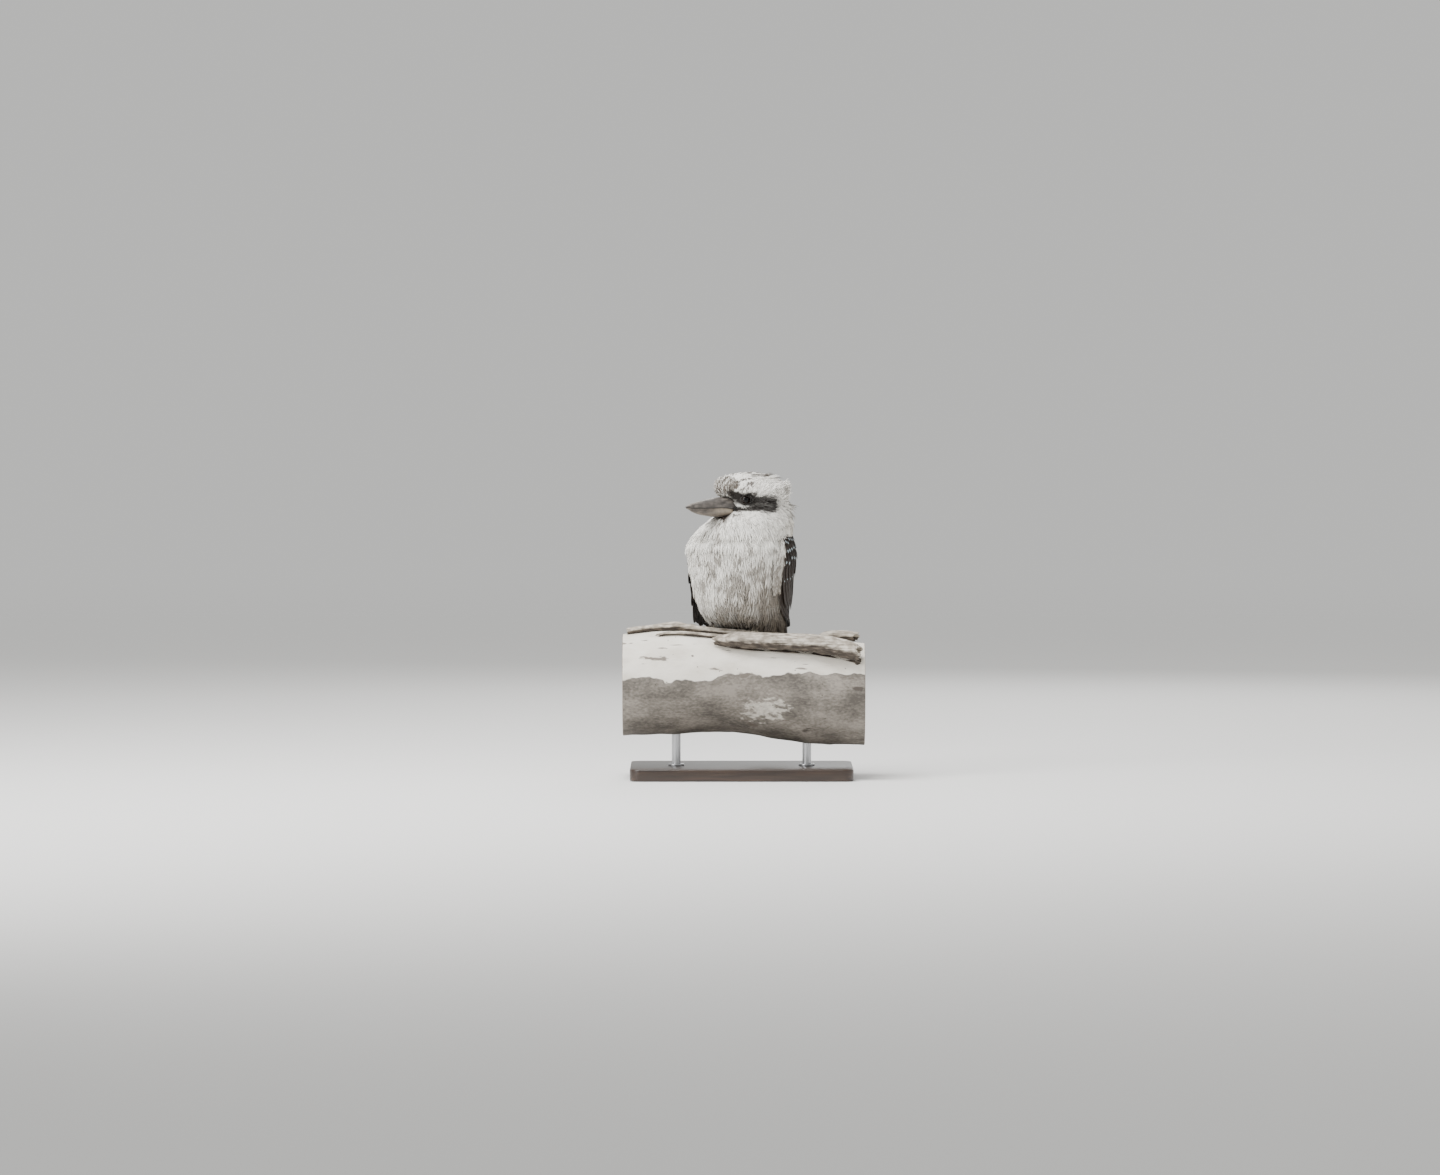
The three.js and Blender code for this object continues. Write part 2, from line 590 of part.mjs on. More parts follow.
function barkForm(name, grow = 0) {
  const rows = BARK[name];
  const steps = (rows.length - 1) * 2;
  const sides = 10;
  const rings = [];
  for (let k = 0; k <= steps; k++) {
    const row = smoothRow(rows, k / 2);
    const { p, radius } = barkPoint(row);
    const end = k === 0 || k === steps ? 0.75 : 1;
    p.x += k === 0 ? -grow : k === steps ? grow : 0;
    rings.push(
      Array.from({ length: sides }, (_, s) => {
        const angle = (2 * Math.PI * s) / sides;
        const r = radius * end * (1 + 0.05 * Math.sin(3 * angle + row[0] / 9)) + grow;
        return new THREE.Vector3(p.x, p.y + r * Math.cos(angle), p.z + r * Math.sin(angle));
      }),
    );
  }
  return loft(rings);
}

// Height of whatever the toes stand on
function footing(x, y) {
  let top = branchTop(x, y);
  for (const rows of Object.values(BARK)) {
    if (x < rows[0][0] || x > rows[rows.length - 1][0]) continue;
    const { p, radius } = barkPoint(rowAt(rows, x));
    const off = (y - p.y) / radius;
    if (Math.abs(off) < 1) top = Math.max(top, p.z + radius * Math.sqrt(1 - off * off));
  }
  return top;
}

// LEGS

const FOOT = { x: -4, y: -8, apart: 28, shank: 4.2, toe: 3.1, top: 24 };
const ANKLE = { pad: [5.6, 5, 4.4], up: 1.5, hollow: 2 };
const CLAW = { bend: 55, stations: [[0.3, 2], [1.3, 1.5], [2.4, 1], [3.4, 0.4]] }; // way along it, radius
// Toes: turn from straight ahead, length and claw length, from the inner front toe to the hind toe
const TOES = [
  { turn: -16, length: 17, claw: 8 },
  { turn: 1, length: 24, claw: 9 },
  { turn: 15, length: 21, claw: 8.5 },
  { turn: 176, length: 12, claw: 8 },
];
const heelPlace = (side) =>
  new THREE.Vector3(FOOT.x, FOOT.y, 0).addScaledVector(chestAxes.left, side * FOOT.apart);
const anklePlace = (side) => {
  const heel = heelPlace(side);
  return heel.setZ(footing(heel.x, heel.y) + FOOT.toe + ANKLE.up);
};
const anklePad = (side, grow = 0) =>
  ellipsoid(anklePlace(side), ANKLE.pad.map((r) => r + grow), [chestAxes.forward, chestAxes.left, UP], 10, 6);

// The shank from the ankle up into the belly feathers
function shankSolid(side, grow = 0) {
  const ankle = anklePlace(side);
  ankle.z -= grow;
  const knee = heelPlace(side).addScaledVector(chestAxes.forward, -6).setZ(FOOT.top + grow);
  const points = [knee, knee.clone().lerp(ankle, 0.4), ankle];
  return tube(points, [5.2, FOOT.shank, FOOT.shank * 1.15].map((r) => r + grow), 10, 1, chestAxes.left);
}

// A toe with its claw, from the ankle to the claw's tip
function toeSolid(side, toe, grow = 0) {
  const heel = heelPlace(side);
  const turn = (CHEST_TURN - side * toe.turn) * DEG;
  const way = new THREE.Vector3(-Math.sin(turn), -Math.cos(turn), 0);
  const steps = 5;
  const points = [];
  const radii = [];
  for (let k = 0; k <= steps; k++) {
    const far = (toe.length * k) / steps;
    const at = (more) => footing(heel.x + way.x * (far + more), heel.y + way.y * (far + more));
    const r = FOOT.toe * lerp(1.05, 0.82, k / steps) * (1 + 0.09 * Math.cos((Math.PI * far) / 3.6));
    const z = k === 0 ? at(0) + FOOT.toe + 0.5 : Math.max(at(0), (at(-2) + at(2)) / 2) + GAP + r * 1.04;
    points.push(new THREE.Vector3(heel.x + way.x * far, heel.y + way.y * far, z));
    radii.push(r + grow);
  }
  // The claw leaves the toe along its last joint and curves down to its point
  const end = points[steps];
  const last = end.clone().sub(points[steps - 1]).normalize();
  const down = new THREE.Vector3().crossVectors(last, new THREE.Vector3().crossVectors(way, UP)).normalize();
  if (down.z > 0) down.negate();
  const bend = CLAW.bend * DEG;
  const whole = CLAW.stations[CLAW.stations.length - 1][0];
  for (const [k, thick] of CLAW.stations) {
    const [angle, r] = [(bend * k) / whole, toe.claw / bend];
    const p = end.clone().addScaledVector(last, r * Math.sin(angle) + 0.4);
    points.push(p.addScaledVector(down, r * (1 - Math.cos(angle)) - 0.8));
    radii.push(thick + grow);
  }
  return tube(points, radii, 6);
}

function legSolid(side, cutters) {
  const toes = TOES.map((toe) => toeSolid(side, toe));
  return largest(without(joined([shankSolid(side), anklePad(side), ...toes]), ...cutters));
}

// The hollow in the belly feathers that a foot and its shank stand in
function legHollow(side) {
  const toes = TOES.map((toe) => toeSolid(side, toe, 3 * GAP).hull());
  return joined([shankSolid(side, GAP), anklePad(side, ANKLE.hollow), ...toes]);
}

// STAND

function baseSolid() {
  const [l, d, r] = [BASE.length / 2, BASE.depth / 2, BASE.corner];
  const outline = new THREE.Shape();
  outline.moveTo(-l + r, -d);
  outline.lineTo(l - r, -d).absarc(l - r, -d + r, r, -Math.PI / 2, 0);
  outline.lineTo(l, d - r).absarc(l - r, d - r, r, 0, Math.PI / 2);
  outline.lineTo(-l + r, d).absarc(-l + r, d - r, r, Math.PI / 2, Math.PI);
  outline.lineTo(-l, -d + r).absarc(-l + r, -d + r, r, Math.PI, 1.5 * Math.PI);
  const geometry = new THREE.ExtrudeGeometry(outline, {
    depth: BASE.height - BASE.chamfer,
    bevelEnabled: false,
    curveSegments: 4,
  });
  // The top edge is chamfered by a second, smaller layer
  const points = outline.getPoints(4).slice(0, -1);
  const ring = (inset, z) =>
    points.map((p) => new THREE.Vector3(p.x * (1 - inset / l), p.y * (1 - inset / d), z));
  const cap = loft([ring(0, BASE.height - BASE.chamfer), ring(BASE.chamfer, BASE.height)]);
  geometry.deleteAttribute('normal');
  geometry.deleteAttribute('uv');
  return joined([solidOf(geometry), cap]);
}

function rodSolid(side, branch) {
  const x = side * ROD.spread;
  const top = PERCH_TOP + branchLine(x).z - ROD.sunk;
  const geometry = new THREE.CylinderGeometry(ROD.radius, ROD.radius, top - BASE.height - GAP, ROD.sides, 1);
  geometry.rotateX(Math.PI / 2);
  geometry.translate(x, BRANCH.y, (top + BASE.height + GAP) / 2);
  return largest(without(solidOf(geometry), branch));
}

// ASSEMBLY

const finish = (name, colour, roughness, metalness = 0) =>
  new THREE.MeshStandardMaterial({ name, color: colour, roughness, metalness });
const MATERIALS = {
  white: finish('breast feathers', 0xded8ca, 0.9),
  dark: finish('wing feathers', 0x43372f, 0.75),
  tail: finish('tail feathers', 0x6d4a34, 0.75),
  horn: finish('upper bill', 0x38322f, 0.45),
  pale: finish('lower bill', 0xb09a86, 0.5),
  eye: finish('eye', 0x1b120d, 0.08),
  foot: finish('feet', 0x6f6a5e, 0.65),
  bark: finish('smooth bark', 0xbdb5a6, 0.8),
  shed: finish('shed bark', 0x7d7264, 0.85),
  wood: finish('stand wood', 0x2b221c, 0.4),
  steel: finish('stand rods', 0x8b8d90, 0.3, 1),
};

const object = new THREE.Group();
object.name = 'kookaburra_on_stand';
const bird = new THREE.Group();
bird.position.z = PERCH_TOP;
object.add(bird);

function add(parent, name, solid, material) {
  const mesh = new THREE.Mesh(geometryOf(solid), material);
  mesh.name = name;
  parent.add(mesh);
}

const branch = branchForm();
const branchGrown = branchForm(GAP);
const barks = Object.fromEntries(Object.keys(BARK).map((name) => [name, barkForm(name)]));
const barksGrown = Object.fromEntries(Object.keys(BARK).map((name) => [name, barkForm(name, GAP)]));
const barkNodes = {
  front: largest(without(barks.front, branchGrown)),
  top: largest(without(barks.top, branchGrown, barksGrown.front)),
  middle: largest(without(barks.middle, branchGrown, barksGrown.front, barksGrown.top)),
  rear: largest(without(barks.rear, branchGrown, barksGrown.front)),
};
const perch = [branchGrown, ...Object.values(barksGrown)];

const bodyGrown = bodyForm(GAP);
const legs = [1, -1].map((side) => legSolid(side, perch));
const body = largest(without(bodyForm(), ...perch, legHollow(1), legHollow(-1)));
const [above, torso] = body.splitByPlane([0, 0, 1], NECK_FROM);
const bills = [mandible(true, GAP), mandible(false, GAP)];
const [skull, collar] = above.trimByPlane([0, 0, 1], NECK_FROM + GAP).splitByPlane([0, 0, 1], HEAD_FROM);
const sockets = [1, -1].flatMap((side) => [eyeHollow(side), gapeLine(side)]);
const bareHead = largest(without(skull.trimByPlane([0, 0, 1], HEAD_FROM + GAP), ...sockets));
const lidded = joined([bareHead, lids(1), lids(-1)]);
const head = largest(without(lidded, ...bills, eyeball(1, GAP), eyeball(-1, GAP)));
const neck = largest(without(collar, ...bills));

const tail = tailSolid([bodyGrown]);
const wings = [LEFT_WING, RIGHT_WING].map((wing) => wingSolid(wing, [bodyGrown, ...perch]));

add(bird, 'head', head, MATERIALS.white);
add(bird, 'neck', neck, MATERIALS.white);
add(bird, 'torso', largest(torso), MATERIALS.white);
add(bird, 'bill_upper', largest(without(mandible(true), ...nostrils())), MATERIALS.horn);
add(bird, 'bill_lower', mandible(false), MATERIALS.pale);
add(bird, 'eye_left', eyeball(1), MATERIALS.eye);
add(bird, 'eye_right', eyeball(-1), MATERIALS.eye);
add(bird, 'wing_left', wings[0], MATERIALS.dark);
add(bird, 'wing_right', wings[1], MATERIALS.dark);
add(bird, 'tail', tail, MATERIALS.tail);
add(bird, 'leg_left', legs[0], MATERIALS.foot);
add(bird, 'leg_right', legs[1], MATERIALS.foot);
add(bird, 'perch_branch', branch, MATERIALS.bark);
add(bird, 'perch_bark_front', barkNodes.front, MATERIALS.shed);
add(bird, 'perch_bark_top', barkNodes.top, MATERIALS.shed);
add(bird, 'perch_bark_middle', barkNodes.middle, MATERIALS.shed);
add(bird, 'perch_bark_rear', barkNodes.rear, MATERIALS.shed);
add(object, 'stand_base', baseSolid(), MATERIALS.wood);
const standBranch = branchGrown.translate([0, 0, PERCH_TOP]);
add(object, 'stand_rod_left', rodSolid(-1, standBranch), MATERIALS.steel);
add(object, 'stand_rod_right', rodSolid(1, standBranch), MATERIALS.steel);

export default object;
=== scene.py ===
# A laughing kookaburra as a life-size display model: one skin under a coat of small vanes, folded wings and
# a tail of single feathers, and a cut length of eucalyptus branch with rolls of shed bark on a plain stand.
# Shapes are worked out in millimetres in the bird's own frame, whose zero level is the top of the branch.
import math

import bpy
import numpy as np
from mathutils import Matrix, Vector
from mathutils.bvhtree import BVHTree
from mathutils.kdtree import KDTree


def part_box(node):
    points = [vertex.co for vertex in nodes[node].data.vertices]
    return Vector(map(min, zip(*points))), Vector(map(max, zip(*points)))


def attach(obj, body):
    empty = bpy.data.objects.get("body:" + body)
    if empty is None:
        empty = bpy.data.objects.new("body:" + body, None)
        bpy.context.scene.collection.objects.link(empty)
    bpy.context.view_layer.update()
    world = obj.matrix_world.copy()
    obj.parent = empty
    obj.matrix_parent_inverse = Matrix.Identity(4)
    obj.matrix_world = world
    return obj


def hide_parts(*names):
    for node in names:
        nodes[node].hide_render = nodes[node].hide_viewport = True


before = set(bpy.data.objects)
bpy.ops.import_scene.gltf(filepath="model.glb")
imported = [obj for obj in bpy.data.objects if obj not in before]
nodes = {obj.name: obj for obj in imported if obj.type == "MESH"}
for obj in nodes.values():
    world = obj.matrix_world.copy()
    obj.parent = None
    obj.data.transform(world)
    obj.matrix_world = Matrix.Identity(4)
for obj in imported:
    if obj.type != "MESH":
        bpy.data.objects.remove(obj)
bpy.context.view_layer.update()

# Driving dimensions, in millimetres and degrees
MM = 0.001
PERCH_TOP = 200
CHEST_TURN = 20
HEAD_TURN = 55
HEAD = np.array([13.0, -12.0, 168.0])
BILL = {"root": 30, "tip": 108.5, "mouth": -3.6, "width": 15.5}
EYE = {"forward": 26, "side": 22.2, "up": 7.5, "radius": 7.5, "dome": 0.5, "pupil_half_angle": 30.7}
LIDS = {"ring": 6.3, "thick": 1.05, "turn": 22, "out": 4.3}
BRANCH_Y = -16
SEED = 7


# HELPERS


def smooth(low, high, value):
    """0 below low, 1 above high and an even S between them; low may be the larger one."""
    t = np.clip((value - low) / (high - low), 0, 1)
    return t * t * (3 - 2 * t)


def mixed(a, b, share):
    return a + (b - a) * share


def unit(vectors):
    return vectors / np.maximum(np.linalg.norm(vectors, axis=-1, keepdims=True), 1e-9)


def power(value, exponent):
    return np.sign(value) * np.abs(value) ** exponent


def facing(turn):
    """Forwards and the bird's own left, for a turn towards -X."""
    a = math.radians(turn)
    return np.array([-math.sin(a), -math.cos(a), 0.0]), np.array([math.cos(a), -math.sin(a), 0.0])


UP = np.array([0.0, 0.0, 1.0])
CHEST_FORWARD, CHEST_LEFT = facing(CHEST_TURN)
HEAD_FORWARD, HEAD_LEFT = facing(HEAD_TURN)


def head_point(forward, side, up):
    """A place given by its distances forwards, to the left and up from the head's origin."""
    forward, side, up = np.broadcast_arrays(forward, side, up)
    return HEAD + forward[..., None] * HEAD_FORWARD + side[..., None] * HEAD_LEFT + up[..., None] * UP


def curve_through(rows, steps):
    """Rows of a smooth curve through a table's rows, at a number of steps per row."""
    rows = np.asarray(rows, float)
    last = len(rows) - 1
    u = np.linspace(0, last, last * steps + 1)
    i = np.minimum(u.astype(int), last - 1)
    t = (u - i)[:, None]
    a, b, c, d = rows[np.maximum(i - 1, 0)], rows[i], rows[i + 1], rows[np.minimum(i + 2, last)]
    bends = (t**3 - 2 * t**2 + t) * (c - a) / 2 + (t**3 - t**2) * (d - b) / 2
    return mixed(b, c, 3 * t**2 - 2 * t**3) + bends


def read(rows, value):
    """The smooth curve's other columns where its first one has the given values."""
    fine = curve_through(rows, 24)
    return [np.interp(value, fine[:, 0], fine[:, k]) for k in range(1, fine.shape[1])]


def metres(points):
    """From the bird's frame in millimetres to the part's frame in metres."""
    return (np.asarray(points, float) + [0, 0, PERCH_TOP]) * MM


def millimetres(points):
    return np.asarray(points, float) / MM - [0, 0, PERCH_TOP]


def deselect():
    if bpy.context.object and bpy.context.object.mode != "OBJECT":
        bpy.ops.object.mode_set(mode="OBJECT")
    bpy.ops.object.select_all(action="DESELECT")


def only(obj):
    deselect()
    obj.select_set(True)
    bpy.context.view_layer.objects.active = obj


def modified(obj, kind, **settings):
    """Adds a modifier with its settings and applies it."""
    only(obj)
    modifier = obj.modifiers.new(kind.lower(), kind)
    for name, value in settings.items():
        setattr(modifier, name, value)
    bpy.ops.object.modifier_apply(modifier=modifier.name)
    return obj


def bevelled(obj, width, segments, angle):
    """Rounds the edges that are sharper than an angle in degrees."""
    sharp = {"limit_method": "ANGLE", "angle_limit": math.radians(angle)}
    return modified(obj, "BEVEL", width=width * MM, segments=segments, **sharp)


def values_of(items, name, kind=float, width=3):
    """One value of every item of a mesh, such as the places of its vertices."""
    values = np.empty(len(items) * width, kind)
    items.foreach_get(name, values)
    return values.reshape(-1, width)


def vertices(obj):
    return values_of(obj.data.vertices, "co")


def normals(obj):
    return values_of(obj.data.vertex_normals, "vector")


def move_vertices(obj, places):
    obj.data.vertices.foreach_set("co", np.asarray(places, float).ravel())
    obj.data.update()
    return obj


def named(name):
    """The primitive that was just added, with its name."""
    obj = bpy.context.object
    obj.name = obj.data.name = name
    return obj


def grid(name, places):
    """A grid primitive, each of whose vertices is moved to its place in an array of rows of points."""
    rows, columns = places.shape[:2]
    deselect()
    bpy.ops.mesh.primitive_grid_add(x_subdivisions=columns - 1, y_subdivisions=rows - 1, size=1)
    return move_vertices(named(name), metres(places.reshape(-1, 3)))


def smooth_outwards(obj):
    """Turns all faces of a mesh outwards and shades it smooth."""
    only(obj)
    bpy.ops.object.mode_set(mode="EDIT")
    bpy.ops.mesh.select_all(action="SELECT")
    bpy.ops.mesh.normals_make_consistent(inside=False)
    bpy.ops.object.mode_set(mode="OBJECT")
    bpy.ops.object.shade_smooth()
    return obj


def tube(name, rings):
    """A grid rolled into a tube through rings of points, its seam merged and its two ends closed."""
    obj = grid(name, np.concatenate([rings, rings[:, :1]], axis=1))
    bpy.ops.object.mode_set(mode="EDIT")
    bpy.ops.mesh.select_all(action="SELECT")
    bpy.ops.mesh.remove_doubles(threshold=1e-6)
    bpy.ops.mesh.select_all(action="DESELECT")
    bpy.ops.mesh.select_mode(type="EDGE")
    bpy.ops.mesh.select_non_manifold()
    bpy.ops.mesh.edge_face_add()
    return smooth_outwards(obj)


def copy_of(name, *node_names):
    """One new mesh from copies of CAD nodes, with the loose triangles of each merged."""
    deselect()
    copies = [bpy.data.objects.new(name, nodes[n].data.copy()) for n in node_names]
    for piece in copies:
        bpy.context.scene.collection.objects.link(piece)
        piece.data.materials.clear()
        piece.select_set(True)
    bpy.context.view_layer.objects.active = copies[0]
    if len(copies) > 1:
        bpy.ops.object.join()
    bpy.ops.object.mode_set(mode="EDIT")
    bpy.ops.mesh.select_all(action="SELECT")
    bpy.ops.mesh.remove_doubles(threshold=1e-6)
    bpy.ops.object.mode_set(mode="OBJECT")
    return named(name)


def finished(obj, material, slot, *replaced):
    """Gives a piece its finish and hangs it under the root; the CAD nodes that it stands for are hidden. Its
    slot is not used.
    """
    if material:
        obj.data.materials.clear()
        obj.data.materials.append(material)
    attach(obj, "root")
    if replaced:
        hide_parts(*replaced)
    return obj


def mesh_of(name, points, quads, triangles=np.empty((0, 3), int)):
    """A mesh from arrays of points in the bird's frame and of their corners."""
    mesh = bpy.data.meshes.new(name)
    mesh.vertices.add(len(points))
    mesh.vertices.foreach_set("co", metres(points).ravel())
    corners = np.concatenate([quads.ravel(), triangles.ravel()])
    mesh.loops.add(len(corners))
    mesh.loops.foreach_set("vertex_index", corners)
    starts = np.concatenate([4 * np.arange(len(quads)), 4 * len(quads) + 3 * np.arange(len(triangles))])
    mesh.polygons.add(len(starts))
    mesh.polygons.foreach_set("loop_start", starts)
    mesh.polygons.foreach_set("use_smooth", np.ones(len(starts), bool))
    mesh.update(calc_edges=True)
    obj = bpy.data.objects.new(name, mesh)
    bpy.context.scene.collection.objects.link(obj)
    return obj


def add_uv(obj, name, places):
    """A UV map from one place for each vertex."""
    corners = values_of(obj.data.loops, "vertex_index", int, 1)
    layer = obj.data.uv_layers.new(name=name)
    layer.data.foreach_set("uv", places[corners].ravel())


def add_colour(obj, name, colours):
    """A colour for each vertex."""
    attribute = obj.data.attributes.new(name, "FLOAT_COLOR", "POINT")
    opaque = np.ones((len(colours), 1))
    attribute.data.foreach_set("color", np.concatenate([colours, opaque], axis=1).ravel())


# MATERIALS


def linear(code):
    """An sRGB hex colour as linear red, green and blue."""
    parts = np.array([int(code[i : i + 2], 16) for i in (0, 2, 4)]) / 255
    return np.where(parts <= 0.04045, parts / 12.92, ((parts + 0.055) / 1.055) ** 2.4)


def rgba(code):
    return (*linear(code), 1)


def node(tree, kind, inputs=(), output=None, into=None, stops=(), **settings):
    """Adds a shader node with its settings and links, and returns its first output or the named one. Inputs
    come in order or by name; each is a value, a hex colour or an output to link. Stops are a ramp's places
    and colours, and into is the shader's socket that the node ends in."""
    made = tree.nodes.new("ShaderNode" + kind)
    for name, value in settings.items():
        setattr(made, name, value)
    for _ in stops[2:]:
        made.color_ramp.elements.new(0.5)
    for k, (place, code) in enumerate(stops):
        made.color_ramp.elements[k].position = place
        made.color_ramp.elements[k].color = rgba(code)
    sockets = [socket for socket in made.inputs if socket.enabled]
    if isinstance(inputs, dict):
        sockets = [made.inputs[name] for name in inputs]
        inputs = inputs.values()
    for socket, value in zip(sockets, inputs):
        if isinstance(value, bpy.types.NodeSocket):
            tree.links.new(value, socket)
        else:
            socket.default_value = rgba(value) if isinstance(value, str) else value
    result = made.outputs[output] if output else next(socket for socket in made.outputs if socket.enabled)
    if into:
        tree.links.new(result, into)
    return result


def material_with(name, **inputs):
    """A material, its node tree, its shader's inputs and the Object coordinates for its patterns. Underscores
    in an input's name stand for spaces."""
    material = bpy.data.materials.new(name)
    material.use_nodes = True
    shader = material.node_tree.nodes["Principled BSDF"]
    for key, value in inputs.items():
        shader.inputs[key.replace("_", " ")].default_value = value
    tree = material.node_tree
    return material, tree, shader.inputs, node(tree, "TexCoord", output="Object")


def feather_down():
    """Loose barbs scatter light softly: matt, with a trace of sheen at grazing angles."""
    material, tree, surface, place = material_with(
        "contour_feather_barbs", Roughness=0.9, Specular_IOR_Level=0.2, Sheen_Weight=0.04, Sheen_Roughness=0.6
    )
    coat = node(tree, "Attribute", attribute_name="coat")
    mottle = node(tree, "TexNoise", (place, 1 / (3 * MM), 2))
    bright = node(tree, "Math", (mottle, 0.24, 0.88), operation="MULTIPLY_ADD")
    node(tree, "HueSaturation", {"Color": coat, "Value": bright}, into=surface["Base Color"])
    return material


def skin_under_coat():
    """The downy ground between the vanes: the coat's own colours, matt and a little darker."""
    material, tree, surface, place = material_with("down_covered_skin", Roughness=1.0)
    node(tree, "Attribute", into=surface["Base Color"], attribute_name="coat")
    laid = node(tree, "Mapping", {"Vector": place, "Scale": (1, 1, 1 / 3)})
    down = node(tree, "TexNoise", (laid, 1 / (1.5 * MM), 4))
    node(tree, "Bump", {"Height": down, "Distance": 0.8 * MM, "Strength": 1}, into=surface["Normal"])
    return material


def vane_places(tree):
    """Across a vane, 0 at the shaft and 1 at the edges; millimetres from its tip; and its tone and spot."""
    places = node(tree, "UVMap", uv_map="vane")
    parts = node(tree, "SeparateXYZ", (places,)).node.outputs
    across = node(tree, "Math", (parts["X"],), operation="ABSOLUTE")
    from_tip = node(tree, "Math", (parts["Y"], 100), operation="MULTIPLY")
    own = node(tree, "Attribute", attribute_name="feather")
    return across, from_tip, node(tree, "SeparateXYZ", (own,)).node.outputs


def barbs(tree, surface, across, from_tip):
    """Barbs run out from the shaft at a slant, 0.5 mm apart, drawn at 0.9 mm so that they show."""
    slant = node(tree, "Math", (across, 7, from_tip), operation="MULTIPLY_ADD")
    turns = node(tree, "Math", (slant, 2 * math.pi / 0.9), operation="MULTIPLY")
    wave = node(tree, "Math", (turns,), operation="SINE")
    node(tree, "Bump", {"Height": wave, "Distance": 0.12 * MM, "Strength": 0.6}, into=surface["Normal"])


def wing_vane_keratin():
    """Closed vanes of flight feathers and coverts: dark brown, nearly matt, pale blue spots near the tips."""
    gloss = {"Roughness": 0.6, "Specular_IOR_Level": 0.3}
    material, tree, surface, place = material_with("wing_feather_vanes", **gloss)
    across, from_tip, own = vane_places(tree)
    mottle = node(tree, "TexNoise", (place, 1 / (7 * MM), 3))
    brown = node(tree, "ValToRGB", (mottle,), stops=[(0.3, "1F1815"), (0.7, "2F2620")])
    share = node(tree, "Math", (own["X"], 0.45), operation="MULTIPLY")
    brown = node(tree, "Mix", (share, brown, "3C312A"), data_type="RGBA")
    # The margin of each vane is worn paler
    inward = node(tree, "Math", (across, -6, 6), operation="MULTIPLY_ADD")
    margin = node(tree, "Math", (inward, from_tip), operation="SMOOTH_MIN")
    worn = node(tree, "MapRange", (margin, 0.2, 1.3, 0.4, 0))
    brown = node(tree, "Mix", (worn, brown, "5A4D43"), data_type="RGBA")
    # A ragged pale spot sits near the tip, larger where the feather's own share is higher
    high = node(tree, "Math", (from_tip, 0.4, -1.28), operation="MULTIPLY_ADD")
    high = node(tree, "Math", (high, 2), operation="POWER")
    wide = node(tree, "Math", (across, 1.5), operation="MULTIPLY")
    wide = node(tree, "Math", (wide, 2), operation="POWER")
    ragged = node(tree, "TexNoise", (place, 1 / (2.2 * MM), 3))
    far = node(tree, "Math", (high, wide), operation="ADD")
    for part, gain in ((ragged, 1.5), (own["Y"], -0.7)):
        far = node(tree, "Math", (part, gain, far), operation="MULTIPLY_ADD")
    inside = node(tree, "MapRange", (far, 0.95, 0.7))
    spotted = node(tree, "Math", (own["Y"], 0.05), operation="GREATER_THAN")
    share = node(tree, "Math", (inside, spotted), operation="MULTIPLY")
    colour = node(tree, "Mix", (share, brown, "BCCBD2"), data_type="RGBA")
    # The shaft is a dark line
    shaft = node(tree, "MapRange", (across, 0.04, 0.08, 0.7, 0))
    node(tree, "Mix", (shaft, colour, "1E1713"), data_type="RGBA", into=surface["Base Color"])
    barbs(tree, surface, across, from_tip)
    return material


def tail_vane_keratin():
    """Tail vanes: rufous with black bars 15.5 mm apart and a white tip, closed and faintly glossy."""
    material, tree, surface, place = material_with("tail_feather_vanes", Roughness=0.55, Sheen_Weight=0.1)
    across, from_tip, own = vane_places(tree)
    waver = node(tree, "TexNoise", (place, 1 / (9 * MM), 3))
    long = from_tip
    for part, gain in ((waver, 9), (across, 3)):
        long = node(tree, "Math", (part, gain, long), operation="MULTIPLY_ADD")
    turns = node(tree, "Math", (long, 2 * math.pi / 15.5), operation="MULTIPLY")
    wave = node(tree, "Math", (turns,), operation="SINE")
    bar = node(tree, "MapRange", (wave, 0, 0.35))
    mottle = node(tree, "TexNoise", (place, 1 / (5 * MM), 3))
    rufous = node(tree, "ValToRGB", (mottle,), stops=[(0.3, "75503A"), (0.7, "8F664A")])
    rufous = node(tree, "Mix", (own["Y"], rufous, "CDB9A0"), data_type="RGBA")
    tip = node(tree, "MapRange", (long, 19, 16.5))
    shaft = node(tree, "MapRange", (across, 0.03, 0.06, 0.8, 0))
    colour = rufous
    for share, code in ((bar, "2B211C"), (tip, "E6DFD2"), (shaft, "2A1D16")):
        colour = node(tree, "Mix", (share, colour, code), data_type="RGBA")
    tree.links.new(colour, surface["Base Color"])
    barbs(tree, surface, across, from_tip)
    return material


